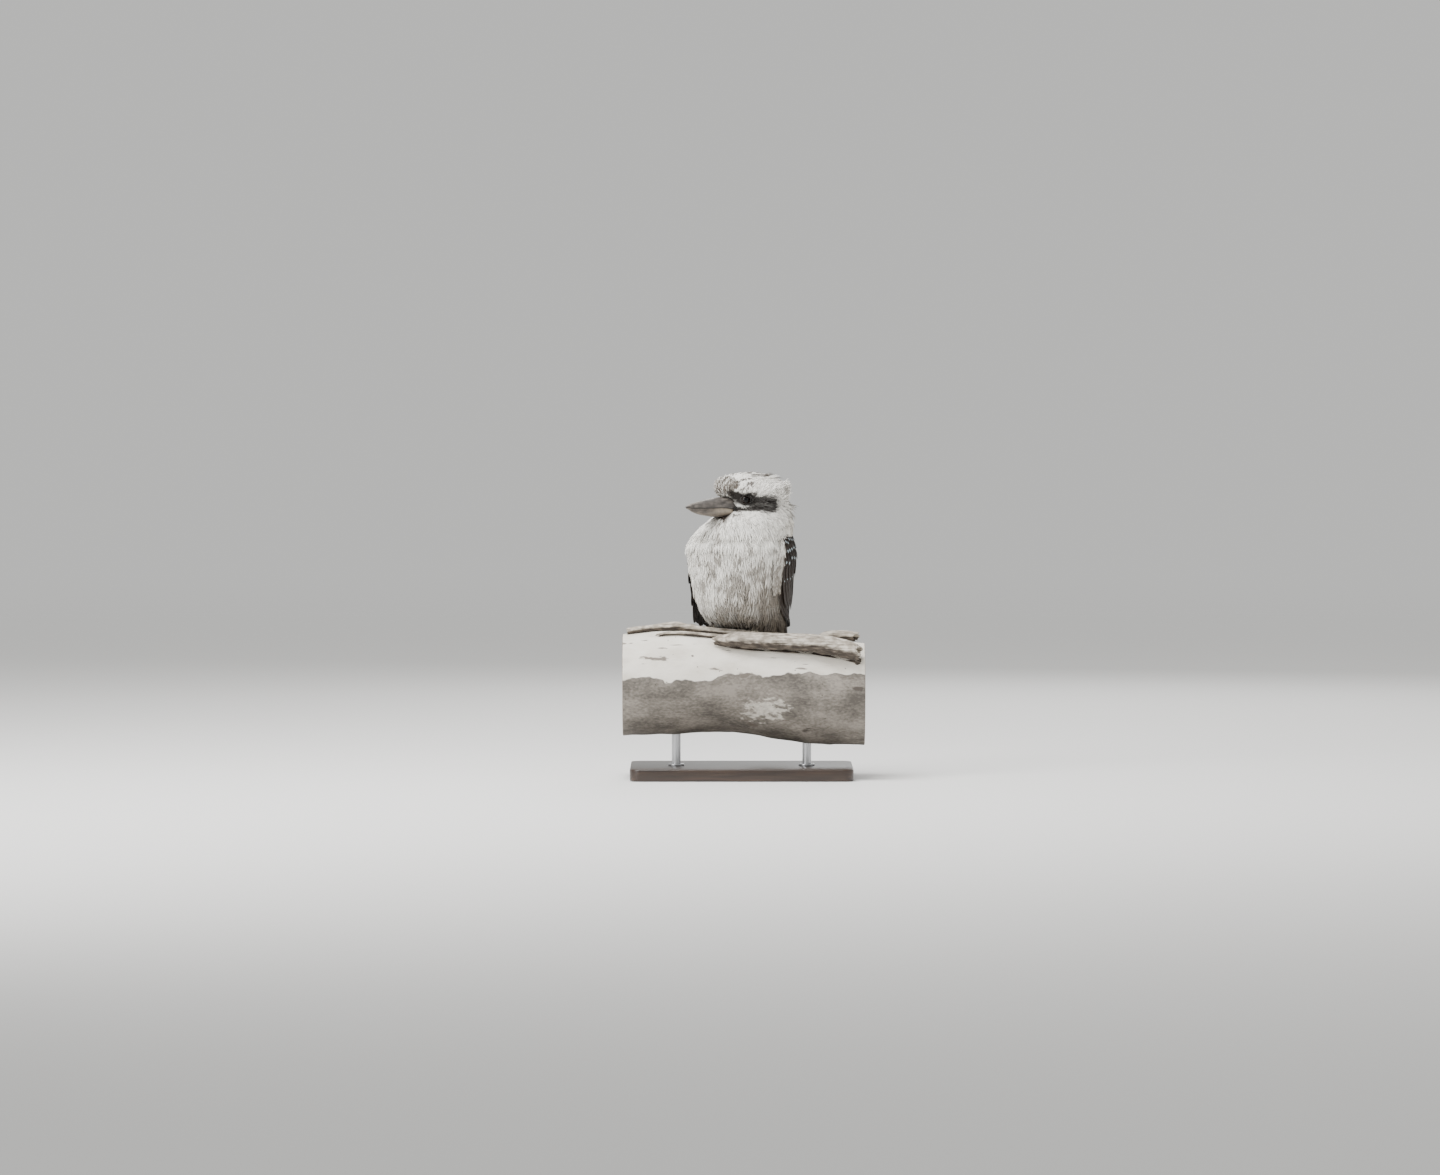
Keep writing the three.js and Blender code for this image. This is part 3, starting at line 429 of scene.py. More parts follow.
def bill_horn(name, stops, pale, wear):
    """Grown horn with a satin sheath: fine growth lines along the bill, paler parts (a painted highlight on
    the upper ridge, pale horn at the lower root), scuffed edges and painted shade along the mouth.
    """
    material, tree, surface, place = material_with(name, Roughness=0.42, Coat_Weight=0.12, Coat_Roughness=0.3)
    turned = (0, 0, math.radians(HEAD_TURN + 90))
    along = node(tree, "Mapping", {"Vector": place, "Rotation": turned})
    drawn = node(tree, "Mapping", {"Vector": along, "Scale": (1 / 7, 1, 1)})
    streaks = node(tree, "TexNoise", (drawn, 1 / (3.5 * MM), 5))
    blotches = node(tree, "TexNoise", (along, 1 / (7 * MM), 4))
    half = node(tree, "Math", (streaks, 0.5), operation="MULTIPLY")
    both = node(tree, "Math", (blotches, 0.5, half), operation="MULTIPLY_ADD")
    colour = node(tree, "ValToRGB", (both,), stops=stops)
    own = node(tree, "Attribute", attribute_name="horn")
    own = node(tree, "SeparateXYZ", (own,)).node.outputs
    # The paler part has a blotched edge
    ragged = node(tree, "Math", (blotches, 1.6, 0.2), operation="MULTIPLY_ADD")
    share = node(tree, "Math", (ragged, own["X"]), operation="MULTIPLY")
    pale_horn_and_highlight = node(tree, "MapRange", (share, 0, 1, 0, 0.85))
    colour = node(tree, "Mix", (pale_horn_and_highlight, colour, pale), data_type="RGBA")
    scuffs = node(tree, "MapRange", (streaks, 0.6, 0.75, 0, 0.4))
    colour = node(tree, "Mix", (scuffs, colour, wear), data_type="RGBA")
    # A dark line is painted along the mouth, the painted shade of the gap between the mandibles
    gape = node(tree, "Math", (own["Y"], 0.85), operation="MULTIPLY")
    node(tree, "Mix", (gape, colour, "1C1815"), data_type="RGBA", into=surface["Base Color"])
    node(tree, "Bump", {"Height": both, "Distance": 0.4 * MM, "Strength": 0.6}, into=surface["Normal"])
    return material


def eye_glass():
    """Glass eye: a dark brown iris and a black pupil under a clear, wet-looking dome."""
    iris, tree, surface, place = material_with("glass_eye_iris", Roughness=0.05, Specular_IOR_Level=0.22)
    fibres = node(tree, "TexNoise", (place, 1 / (0.6 * MM), 3))
    browns = [(0.35, "120A06"), (0.7, "21130B")]
    node(tree, "ValToRGB", (fibres,), into=surface["Base Color"], stops=browns)
    black = rgba("050404")
    pupil = material_with("glass_eye_pupil", Base_Color=black, Roughness=0.03, Specular_IOR_Level=0.22)
    return iris, pupil[0]


def lid_skin():
    """Bare dark skin of the eyelid, finely wrinkled and a little moist."""
    material, tree, surface, place = material_with("eyelid_skin", Roughness=0.5, Subsurface_Weight=0.05)
    wrinkles = node(tree, "TexNoise", (place, 1 / (0.9 * MM), 4))
    browns = [(0.3, "15110F"), (0.7, "2A241F")]
    node(tree, "ValToRGB", (wrinkles,), into=surface["Base Color"], stops=browns)
    node(tree, "Bump", {"Height": wrinkles, "Distance": 0.25 * MM, "Strength": 1}, into=surface["Normal"])
    return material


def foot_skin():
    """Horny scutes over tough skin, 1.6 mm each, grey-olive and dry."""
    material, tree, surface, place = material_with("scaled_foot_skin", Roughness=0.6)
    scutes = node(tree, "TexVoronoi", (place, 1 / (1.6 * MM)), feature="DISTANCE_TO_EDGE")
    edge = node(tree, "MapRange", (scutes, 0, 0.12))
    mottle = node(tree, "TexNoise", (place, 1 / (4 * MM), 3))
    colour = node(tree, "ValToRGB", (mottle,), stops=[(0.3, "857F71"), (0.7, "A8A190")])
    node(tree, "Mix", (edge, "3D3932", colour), data_type="RGBA", into=surface["Base Color"])
    node(tree, "Bump", {"Height": edge, "Distance": 0.3 * MM, "Strength": 1}, into=surface["Normal"])
    return material


def claw_horn():
    """Claws: dark polished horn, mottled a little paler in places."""
    material, tree, surface, place = material_with("claw_horn", Roughness=0.35, Coat_Weight=0.2)
    mottle = node(tree, "TexNoise", (place, 1 / (2 * MM), 3))
    browns = [(0.3, "211C19"), (0.75, "453C35")]
    node(tree, "ValToRGB", (mottle,), into=surface["Base Color"], stops=browns)
    return material


# Marks on the branch's front side: place along it, height, half length, half height, colour
BARK_MARKS = [
    (-115, -37, 25, 3.6, "574E46"),
    (-156, -17.5, 18, 1.7, "6A6057"),
    (-110, -23, 20, 1.5, "6F655C"),
    (-60, -18, 9, 1.2, "6F655C"),
    (2, -58, 12, 4.2, "686058"),
    (-66, -33, 2.6, 1.8, "4A423B"),
    (89, -133, 14, 3.2, "3B3530"),
    (156, -76, 7, 5.5, "423B35"),
]
# Patterns of the bark: size in millimetres, detail, and how far it is drawn out along and round the branch
BARK_PATTERNS = {
    "waver": (48, 3, (1, 3, 1)),
    "fray": (6, 5, (2, 1, 1)),
    "powder": (26, 5, (2, 1, 1)),
    "clouds": (30, 5, (1.8, 1, 1)),
    "fine": (2.6, 6, (1.8, 1, 1)),
    "ragged": (5, 7, (2.2, 1, 1)),
    "scars": (7, 5, (5, 1, 1)),
}


def bark_mark(tree, place, ragged, centre, half, strength):
    """A share up to strength inside a ragged oval on the branch's front side, 0 outside it."""
    scale = np.array([1 / half[0], 1 / 45, 1 / half[1]]) / MM
    middle = np.array([centre[0], -88, PERCH_TOP + centre[1]]) * MM
    laid = node(tree, "Mapping", {"Vector": place, "Scale": list(scale), "Location": list(-middle * scale)})
    far = node(tree, "VectorMath", (laid,), operation="LENGTH")
    far = node(tree, "Math", (far, ragged), operation="ADD")
    return node(tree, "MapRange", (far, 2.2, 1.9, 0, strength))


def smooth_gum_bark():
    """Smooth eucalyptus bark: powdery cream on the upper side, grey old bark below a wavering edge, with
    scars that lie along the branch and small pores."""
    material, tree, surface, place = material_with("smooth_gum_bark", Roughness=0.8)
    parts = node(tree, "SeparateXYZ", (place,)).node.outputs
    drawn = {}
    for name, (size, detail, stretch) in BARK_PATTERNS.items():
        laid = node(tree, "Mapping", {"Vector": place, "Scale": [1 / s for s in stretch]})
        drawn[name] = node(tree, "TexNoise", (laid, 1 / (size * MM), detail))
    # The edge between the two barks wavers along the branch, about 60 mm under its top
    height = parts["Z"]
    for pattern, gain in ((drawn["waver"], 0.034), (drawn["fray"], 0.005), (parts["X"], -0.015)):
        height = node(tree, "Math", (pattern, gain, height), operation="MULTIPLY_ADD")
    old = node(tree, "MapRange", (height, 0.1595, 0.1585))
    creams = [(0.3, "CBC3B6"), (0.5, "DFD9CD"), (0.7, "EAE5DB")]
    cream = node(tree, "ValToRGB", (drawn["powder"],), stops=creams)
    # Old bark is finely grained, with broad soft clouds and one paler worn patch
    clouds = node(tree, "Math", (drawn["clouds"], 0.6), operation="MULTIPLY")
    both = node(tree, "Math", (drawn["fine"], 0.4, clouds), operation="MULTIPLY_ADD")
    greys = [(0.38, "514C46"), (0.5, "6E6860"), (0.62, "8B847B")]
    grey = node(tree, "ValToRGB", (both,), stops=greys)
    ragged = node(tree, "Math", (drawn["ragged"], 2.6), operation="MULTIPLY")
    patch = bark_mark(tree, place, ragged, (30, -106), (36, 18), 1.5)
    worn = node(tree, "Math", (patch, drawn["fine"]), operation="MULTIPLY")
    grey = node(tree, "Mix", (worn, grey, "C4BEB3"), data_type="RGBA")
    colour = node(tree, "Mix", (old, cream, grey), data_type="RGBA")
    # A darker rim marks the step in the bark
    over = node(tree, "Math", (height, 0.159), operation="SUBTRACT")
    over = node(tree, "Math", (over,), operation="ABSOLUTE")
    rim = node(tree, "MapRange", (over, 0.0011, 0, 0, 0.55))
    colour = node(tree, "Mix", (rim, colour, "57504A"), data_type="RGBA")
    for x, z, half_x, half_z, code in BARK_MARKS:
        share = bark_mark(tree, place, ragged, (x, z), (half_x, half_z), 0.85)
        colour = node(tree, "Mix", (share, colour, code), data_type="RGBA")
    scar = node(tree, "MapRange", (drawn["scars"], 0.68, 0.71, 0, 0.75))
    colour = node(tree, "Mix", (scar, colour, "5A5048"), data_type="RGBA")
    pores = node(tree, "TexVoronoi", (place, 1 / (15 * MM)))
    pore = node(tree, "MapRange", (pores, 0.07, 0.045, 0, 0.85))
    node(tree, "Mix", (pore, colour, "4A423B"), data_type="RGBA", into=surface["Base Color"])
    # The old bark stands 1.2 mm over the new, the scars are pressed in, and the grain lies over both
    grain = 0
    for part, gain in ((drawn["fine"], 0.9), (scar, -0.8 / 0.75), (old, 1.5)):
        grain = node(tree, "Math", (part, gain, grain), operation="MULTIPLY_ADD")
    node(tree, "Bump", {"Height": grain, "Distance": 0.8 * MM, "Strength": 1}, into=surface["Normal"])
    return material


def sawn_end():
    """A sawn end: rings 2.2 mm apart round the pith, a reddish heart and fine marks of the saw."""
    material, tree, surface, place = material_with("sawn_branch_end", Roughness=0.75)
    parts = node(tree, "SeparateXYZ", (place,)).node.outputs
    # The branch slopes, so the pith lies lower at its right end
    off_y = node(tree, "Math", (parts["Y"], BRANCH_Y * MM), operation="SUBTRACT")
    level = node(tree, "Math", (parts["X"], 0.037, (81.4 - PERCH_TOP) * MM), operation="MULTIPLY_ADD")
    off_z = node(tree, "Math", (parts["Z"], level), operation="ADD")
    off = node(tree, "CombineXYZ", (0, off_y, off_z))
    far = node(tree, "VectorMath", (off,), operation="LENGTH")
    waver = node(tree, "TexNoise", (place, 1 / (40 * MM), 3))
    far = node(tree, "Math", (waver, 0.009, far), operation="MULTIPLY_ADD")
    turns = node(tree, "Math", (far, 2 * math.pi / (2.2 * MM)), operation="MULTIPLY")
    rings = node(tree, "Math", (turns,), operation="SINE")
    ring = node(tree, "MapRange", (rings, 0.2, 1, 0, 0.45))
    wood = node(tree, "MapRange", (far, 0.038, 0.05))
    colour = node(tree, "Mix", (wood, "8C7461", "BCAB91"), data_type="RGBA")
    colour = node(tree, "Mix", (ring, colour, "77604D"), data_type="RGBA")
    # Drying checks run out from the pith, and a thin dark line of inner bark lies round the rim
    turn = node(tree, "Math", (off_z, off_y), operation="ARCTAN2")
    checks = node(tree, "TexNoise", (turn, 5), noise_dimensions="1D")
    check = node(tree, "MapRange", (checks, 0.665, 0.69))
    short = node(tree, "MapRange", (far, 0.058, 0.03))
    check = node(tree, "Math", (check, short), operation="MULTIPLY")
    colour = node(tree, "Mix", (check, colour, "3A2A20"), data_type="RGBA")
    rind = node(tree, "MapRange", (far, 0.0655, 0.067, 0, 0.7))
    node(tree, "Mix", (rind, colour, "6B5644"), data_type="RGBA", into=surface["Base Color"])
    laid = node(tree, "Mapping", {"Vector": place, "Scale": (1, 1, 1 / 12)})
    saw = node(tree, "TexNoise", (laid, 1 / (1.2 * MM), 3))
    node(tree, "Bump", {"Height": saw, "Distance": 0.3 * MM, "Strength": 1}, into=surface["Normal"])
    return material


def peeled_bark(name, top, under):
    """Shed bark: dry fibres along the strip, split and curled, matt, with painted light making it pale above
    and painted shade making it dark below.
    """
    material, tree, surface, place = material_with(name, Roughness=0.88)
    laid = node(tree, "Mapping", {"Vector": place, "Scale": (1 / 12, 1, 1)})
    fibres = node(tree, "TexNoise", (laid, 1 / (2.2 * MM), 6))
    laid = node(tree, "Mapping", {"Vector": place, "Scale": (1 / 1.8, 1, 1)})
    patches = node(tree, "TexNoise", (laid, 1 / (5 * MM), 6))
    share = node(tree, "Math", (fibres, 0.45), operation="MULTIPLY")
    both = node(tree, "Math", (patches, 0.55, share), operation="MULTIPLY_ADD")
    # The pale colour is painted light on the upper part of a roll and the dark one painted shade below it,
    # with a ragged edge between
    own = node(tree, "Attribute", attribute_name="painted_top_light")
    own = node(tree, "SeparateXYZ", (own,)).node.outputs
    ragged = node(tree, "Math", (own["X"], both), operation="ADD")
    above = node(tree, "MapRange", (ragged, 0.75, 1.2))
    dark = node(tree, "ValToRGB", (both,), stops=under)
    pale = node(tree, "ValToRGB", (both,), stops=top)
    colour = node(tree, "Mix", (above, dark, pale), data_type="RGBA")
    splits = node(tree, "MapRange", (fibres, 0.36, 0.3, 0, 0.6))
    node(tree, "Mix", (splits, colour, "2B2520"), data_type="RGBA", into=surface["Base Color"])
    node(tree, "Bump", {"Height": fibres, "Distance": 0.9 * MM, "Strength": 1}, into=surface["Normal"])
    return material


def waxed_hardwood():
    """Dark stained hardwood under wax: the grain shows as a faint lighter figure along the base."""
    wax = {"Roughness": 0.36, "Coat_Weight": 0.2, "Coat_Roughness": 0.3}
    material, tree, surface, place = material_with("waxed_hardwood", **wax)
    laid = node(tree, "Mapping", {"Vector": place, "Scale": (1 / 14, 1, 1)})
    grain = node(tree, "TexNoise", (laid, 1 / (5 * MM), 6))
    browns = [(0.3, "241A14"), (0.55, "35271E"), (0.75, "4A382B")]
    node(tree, "ValToRGB", (grain,), into=surface["Base Color"], stops=browns)
    laid = node(tree, "Mapping", {"Vector": place, "Scale": (1 / 16, 1, 1)})
    pores = node(tree, "TexNoise", (laid, 1 / MM, 3))
    node(tree, "Bump", {"Height": pores, "Distance": 0.2 * MM, "Strength": 0.5}, into=surface["Normal"])
    return material


def brushed_steel():
    """Stainless rod brushed round its axis: fine rings that widen the highlight."""
    steel = {"Base_Color": rgba("B9BABC"), "Metallic": 1, "Roughness": 0.32}
    material, tree, surface, place = material_with("brushed_stainless_steel", **steel)
    laid = node(tree, "Mapping", {"Vector": place, "Scale": (1 / 20, 1 / 20, 1)})
    rings = node(tree, "TexNoise", (laid, 1 / (0.5 * MM), 2))
    node(tree, "MapRange", (rings, 0, 1, 0.24, 0.42), into=surface["Roughness"])
    node(tree, "Bump", {"Height": rings, "Distance": 0.05 * MM, "Strength": 0.4}, into=surface["Normal"])
    return material


# MARKINGS

WHITE = linear("FAF7F0")
CREAM = linear("EDE5D6")
GREY = linear("AFA89D")
# Smoke grey is used only for painted shade on the body
PAINTED_SHADE = linear("5E5852")
STREAK = linear("7F766B")
DARK = linear("41352C")
MASK = linear("18110D")
BACK = linear("362A23")


def oval(a, b, centre, half, tilt=0, soft=0.25):
    """1 inside an oval and 0 outside it, with a soft edge. Its first axis is tilted by some degrees."""
    c, s = math.cos(math.radians(tilt)), math.sin(math.radians(tilt))
    x, y = a - centre[0], b - centre[1]
    far = np.hypot((c * x + s * y) / half[0], (c * y - s * x) / half[1])
    return 1 - smooth(1 - soft, 1 + soft, far)


def head_places(points):
    """Distances of points forwards, to the left and up from the head's origin."""
    off = points - HEAD
    return off @ HEAD_FORWARD, off @ HEAD_LEFT, off[..., 2]


def round_chest(points):
    """Degrees from straight ahead of the chest, from 0 to 180 on either side."""
    return np.degrees(np.arctan2(np.abs(points @ CHEST_LEFT), points @ CHEST_FORWARD))


def markings(points, draw=None):
    """The coat's colour at points, with painted shade on the lower body, the same for skin and vanes. A vane
    whose draw is low may be a streak.
    """
    forward, side, up = head_places(points)
    side = np.abs(side)
    x, z = points[:, 0], points[:, 2]
    angle = round_chest(points)
    draw = np.full(len(points), 0.9) if draw is None else draw
    colour = np.broadcast_to(WHITE, points.shape).copy()

    def wash(target, share):
        colour[:] = colour + (target - colour) * np.clip(share, 0, 1)[:, None]

    on_head = smooth(144, 152, z)
    # Body: creamy flanks; a greyer belly, its grey partly painted shade that grows towards +X and downwards;
    # painted shade on the +X flank and under the belly, darkest over the feet; streaks that grow common
    # downwards
    wash(CREAM, 0.4 * smooth(60, 110, angle) * (1 - on_head))
    wash(GREY, (0.15 + 0.65 * smooth(-45, 40, x)) * smooth(108, 44, z))
    wash(PAINTED_SHADE, 0.4 * smooth(34, 58, x) * smooth(112, 88, z))
    wash(PAINTED_SHADE, (0.35 + 0.6 * smooth(-46, -14, x)) * smooth(50, 6, z))
    wash(DARK, 0.5 * smooth(16, 2, z))
    often = 0.12 + 0.5 * smooth(128, 80, z) * smooth(-60, -15, x) + 0.2 * smooth(50, 95, angle)
    wash(STREAK, 0.68 * (draw < often) * (1 - on_head))
    # Back: dark mantle between the wings, and a grey-brown nape above it
    mantle = smooth(104, 126, angle) * smooth(147, 130, z)
    wash(BACK, mantle * (0.5 + 0.5 * (draw < 0.75)))
    nape = mixed(0.75, 0.2, points @ CHEST_LEFT < 0) * smooth(90, 110, angle)
    wash(STREAK, nape * (draw < 0.6) * smooth(164, 148, z) * smooth(112, 124, z))
    wash(STREAK, 0.55 * smooth(-22, -42, forward) * (draw < 0.5) * on_head)
    # Forehead and middle of the crown: dark streaks that sweep back from before the eye
    crown = smooth(27, 36, up) * smooth(27, 14, side)
    brow = smooth(12, 24, forward) * smooth(8, 14, up)
    wash(DARK, 0.9 * (draw < 0.52) * np.clip(crown + brow, 0, 1))
    wash(STREAK, 0.7 * (draw < 0.75) * oval(forward, up, (40, 21), (14, 12), 0, 0.5) * smooth(30, 20, side))
    # Stripe through the eye: before it upwards, round it, a paler waist and the broad ear patch
    stripe = np.maximum.reduce([
        oval(forward, up, (26.5, 8), (12.5, 8.4)),
        oval(forward, up, (38, 12.5), (10.5, 5.4), 24) * smooth(3, 8, side),
        oval(forward, up, (14, 3.5), (14, 8.6)),
        oval(forward, up, (1, 1.5), (20, 11.5)),
        oval(forward, up, (28, -4.6), (26, 3.2), 0, 0.35) * smooth(6, 10, side),
    ])
    wash(MASK, stripe * smooth(8, 14, side) * (0.9 + 0.1 * draw))
    # A dark patch behind the bill's lower edge, and painted shade in the parting under the chin
    wash(DARK, 0.75 * oval(forward, up, (42, -10), (9, 5)) * (draw < 0.8))
    wash(DARK, oval(forward, up, (47, -21), (11, 12), 0, 0.4) * smooth(21, 11, side) * (draw < 0.92))
    return colour


# SKIN

BODY = ("head", "neck", "torso")


def coat_depth(points):
    """Millimetres from the coat's outer form in to the skin: thin on the face, deep on the body."""
    forward, _, _ = head_places(points)
    head = mixed(2.2, 0.4, smooth(5, 32, forward))
    return mixed(4.2, head, smooth(138, 154, points[:, 2]))


def make_skin():
    """One skin for head, neck and torso, without their cuts, lying inside them by the coat's depth."""
    skin = copy_of("skin", *BODY)
    grown = 0.5
    modified(skin, "DISPLACE", strength=grown * MM, mid_level=0)
    modified(skin, "REMESH", mode="VOXEL", voxel_size=1.9 * MM)
    modified(skin, "SMOOTH", factor=0.5, iterations=8)
    points = millimetres(vertices(skin))
    move_vertices(skin, metres(points - normals(skin) * (grown + coat_depth(points))[:, None]))
    modified(skin, "SMOOTH", factor=0.5, iterations=3)
    only(skin)
    bpy.ops.object.shade_smooth()
    points = millimetres(vertices(skin))
    add_colour(skin, "coat", markings(points) * 0.8)
    return finished(skin, skin_under_coat(), "breast_feathers", *BODY)


def faces_of(*objects):
    """The faces of meshes in the bird's frame, for finding where a ray meets them."""
    points, faces = [], []
    for obj in objects:
        start = len(points)
        points += [Vector(p) for p in millimetres(vertices(obj))]
        faces += [[start + i for i in polygon.vertices] for polygon in obj.data.polygons]
    return BVHTree.FromPolygons(points, faces)


# COAT

# Random places tried for each tuft that fits, and the spacing of locks over that of tufts
TRIES = 4.5
LOCK_APART = 3.1


def tuft_sizes(points):
    """Spacing, length and half width of the tufts at points: smallest round the bill and eyes."""
    forward, _, up = head_places(points)
    z = points[:, 2]
    face = smooth(4, 34, forward) * smooth(-14, -6, up)
    on_head = smooth(140, 156, z)
    spacing = mixed(2.2, mixed(1.7, 1.1, face), on_head)
    length = mixed(mixed(21, 18, smooth(60, 120, z)), mixed(11, 5, face), on_head)
    half = mixed(1.0, mixed(0.72, 0.5, face), on_head)
    return spacing, length, half


def scattered(skin, rng, apart=1.0):
    """Places all over the skin with its normal there, each at least a number of spacings from the next."""
    skin.data.calc_loop_triangles()
    corners = values_of(skin.data.loop_triangles, "vertices", int)
    points = millimetres(vertices(skin))
    out = normals(skin)
    a, b, c = points[corners[:, 0]], points[corners[:, 1]], points[corners[:, 2]]
    area = np.linalg.norm(np.cross(b - a, c - a), axis=1) / 2
    spacing = apart * tuft_sizes((a + b + c) / 3)[0]
    weight = area / spacing**2
    tries = int(TRIES * weight.sum())
    chosen = rng.choice(len(area), tries, p=weight / weight.sum())
    u, v = rng.random((2, tries, 1))
    u, v = np.where(u + v > 1, 1 - u, u), np.where(u + v > 1, 1 - v, v)
    shares = [1 - u - v, u, v]
    places = sum(share * points[corners[chosen, k]] for k, share in enumerate(shares))
    outs = unit(sum(share * out[corners[chosen, k]] for k, share in enumerate(shares)))
    spacing = apart * tuft_sizes(places)[0]
    # Places lie in cells a little wider than the widest spacing, so only the cells next to one are searched
    keys = np.floor(places / (2.6 * apart)).astype(int)
    taken = {}
    kept = []
    around = [(i, j, k) for i in (-1, 0, 1) for j in (-1, 0, 1) for k in (-1, 0, 1)]
    for n, ((x, y, z), (px, py, pz)) in enumerate(zip(keys.tolist(), places.tolist())):
        near = spacing[n] ** 2
        others = (q for i, j, k in around for q in taken.get((x + i, y + j, z + k), ()))
        if all((px - qx) ** 2 + (py - qy) ** 2 + (pz - qz) ** 2 >= near for qx, qy, qz in others):
            taken.setdefault((x, y, z), []).append((px, py, pz))
            kept.append(n)
    return places[kept], outs[kept]


def lie(points, outs):
    """Which way the coat lies: back from the bill over the head, down the body, and round the eyes."""
    away = unit(points - head_point(36, 0, -2))
    down = smooth(156, 132, points[:, 2])[:, None]
    flow = away * (1 - down) + (0.3 * away - UP) * down
    for side in (1, -1):
        off = points - head_point(EYE["forward"], side * EYE["side"], EYE["up"])
        near = smooth(17, 7, np.linalg.norm(off, axis=1))[:, None]
        flow = flow + 1.6 * near * unit(off)
    flow = flow - outs * np.sum(flow * outs, axis=1, keepdims=True)
    return unit(flow)


# Sections of a tuft: share of its length, share of its half width, and shade. Then the shade of its tip, its
# ridge's height over its half width, and how deep its root lies in the skin
STATIONS = np.array([0.0, 0.32, 0.64, 0.86])
WIDTHS = np.array([0.5, 1.0, 0.9, 0.55])
SHADES = [0.72, 0.88, 0.98, 1.03]
TIP_SHADE = 1.05
RIDGE_HEIGHT = 0.42
ROOT_DEPTH = 0.8


def tufts(name, root, way, out, length, half, rise, curl, bend, colour):
    """One mesh of many three-sided tapered vanes, with their colours and their own patches for baking."""
    count = len(root)
    across = np.cross(out, way)
    v = STATIONS[None, :, None]
    far = length[:, None, None] * v
    height = length[:, None, None] * (rise[:, None, None] * v - curl[:, None, None] * v**2)
    height = height - bend[:, None, None] * v**2
    line = root[:, None] + way[:, None] * far + out[:, None] * (height - ROOT_DEPTH)
    wide = (half[:, None] * WIDTHS)[..., None]
    rings = np.stack([
        line - across[:, None] * wide,
        line + out[:, None] * wide * RIDGE_HEIGHT,
        line + across[:, None] * wide,
    ], axis=2)
    end = root + way * length[:, None] + out * (length * (rise - curl) - bend - ROOT_DEPTH)[:, None]
    each = 3 * len(STATIONS) + 1
    points = np.concatenate([rings.reshape(count, -1, 3), end[:, None]], axis=1)
    quads = []
    for ring in range(len(STATIONS) - 1):
        for k in range(3):
            a, b = 3 * ring + k, 3 * ring + (k + 1) % 3
            quads.append([a, a + 3, b + 3, b])
    last = 3 * (len(STATIONS) - 1)
    triangles = [[last + k, each - 1, last + (k + 1) % 3] for k in range(3)] + [[0, 1, 2]]
    starts = each * np.arange(count)[:, None, None]
    obj = mesh_of(
        name,
        points.reshape(-1, 3),
        (starts + np.array(quads)).reshape(-1, 4),
        (starts + np.array(triangles)).reshape(-1, 3),
    )
    # Roots are in the shade of the coat, tips are full colour, and the ridge is a little darker
    shade = np.concatenate([np.repeat(SHADES, 3), [TIP_SHADE]])
    ridge = np.concatenate([np.tile([1, 0.93, 1], len(STATIONS)), [1]])
    colours = colour[:, None] * (shade * ridge)[None, :, None]
    near_root = colours[:, : 3 * 2]
    near_root[:] = mixed(near_root, colour[:, None] * 0.5, 0.18)
    add_colour(obj, "coat", np.clip(colours, 0, 1).reshape(-1, 3))
    # Each tuft's patch lies at its root's place on the skin, opened out round the body's middle
    middle = root - np.array([5.0, -4.0, 95.0])
    u = np.arctan2(middle[:, 1], middle[:, 0]) / (2 * math.pi) + 0.5
    w = np.arccos(np.clip(middle[:, 2] / np.linalg.norm(middle, axis=1), -1, 1)) / math.pi
    local = np.array([[(k - 1) * 0.5, s - 0.5] for s in STATIONS for k in range(3)] + [[0, 0.5]])
    patch = np.stack([u, w], axis=1)[:, None] * 0.994 + 0.003 + 0.003 * local
    add_uv(obj, "OFBake", patch.reshape(-1, 2))
    return obj


def locked(skin, root, way, out, length, rng):
    """Draws vanes together to pointed locks. Returns their ways, lengths, heights in the lock and draws."""
    centre, centre_out = scattered(skin, rng, LOCK_APART)
    centre_way = lie(centre, centre_out)
    _, centre_length, _ = tuft_sizes(centre)
    tree = KDTree(len(centre))
    for n, place in enumerate(centre):
        tree.insert(Vector(place), n)
    tree.balance()
    own = np.array([tree.find(Vector(place))[1] for place in root])
    off = root - centre[own]
    aside = np.abs(np.sum(off * np.cross(centre_out, centre_way)[own], axis=1))
    reach = centre_length[own]
    to_tip = centre_way[own] * reach[:, None] * 1.15 - off
    to_tip = to_tip - out * np.sum(to_tip * out, axis=1, keepdims=True)
    far = np.linalg.norm(to_tip, axis=1)
    drawn = unit(mixed(way, to_tip / np.maximum(far, 1e-6)[:, None], 0.5))
    long = mixed(length, np.clip(far, 0.55 * length, 1.1 * length), 0.7)
    wide = 1.5 * tuft_sizes(root)[0]
    ridge = np.clip(1 - aside / wide, 0, 1)
    lock_rise = rng.standard_normal(len(centre))[own]
    lock_draw = rng.random(len(centre))[own]
    in_lock = lock_draw + 0.08 * rng.standard_normal(len(root))
    draw = np.where(aside < 0.55 * wide, in_lock, 0.22 + 0.78 * lock_draw)
    return drawn, long, ridge, lock_rise, draw


def streaked(points, draw, rng):
    """On the head, draws that are low along narrow streaks, which radiate from the bill and sweep back."""
    forward, side, up = head_places(points)
    turn = np.arctan2(side, up + 8)
    back = 40 - forward
    wave = np.sin(25 * turn + 1.4 * np.sin(back / 9)) + np.sin(41 * turn - back / 12)
    streak = 0.5 - 0.27 * wave + 0.07 * rng.standard_normal(len(points))
    return mixed(draw, streak, smooth(150, 158, points[:, 2]))


# Bands of the coat, from the top down: name and lowest height
BANDS = [
    ("crown", 184),
    ("cheeks", 150),
    ("collar", 126),
    ("breast", 92),
    ("flank", 56),
    ("belly", 26),
    ("vent", -30),
]


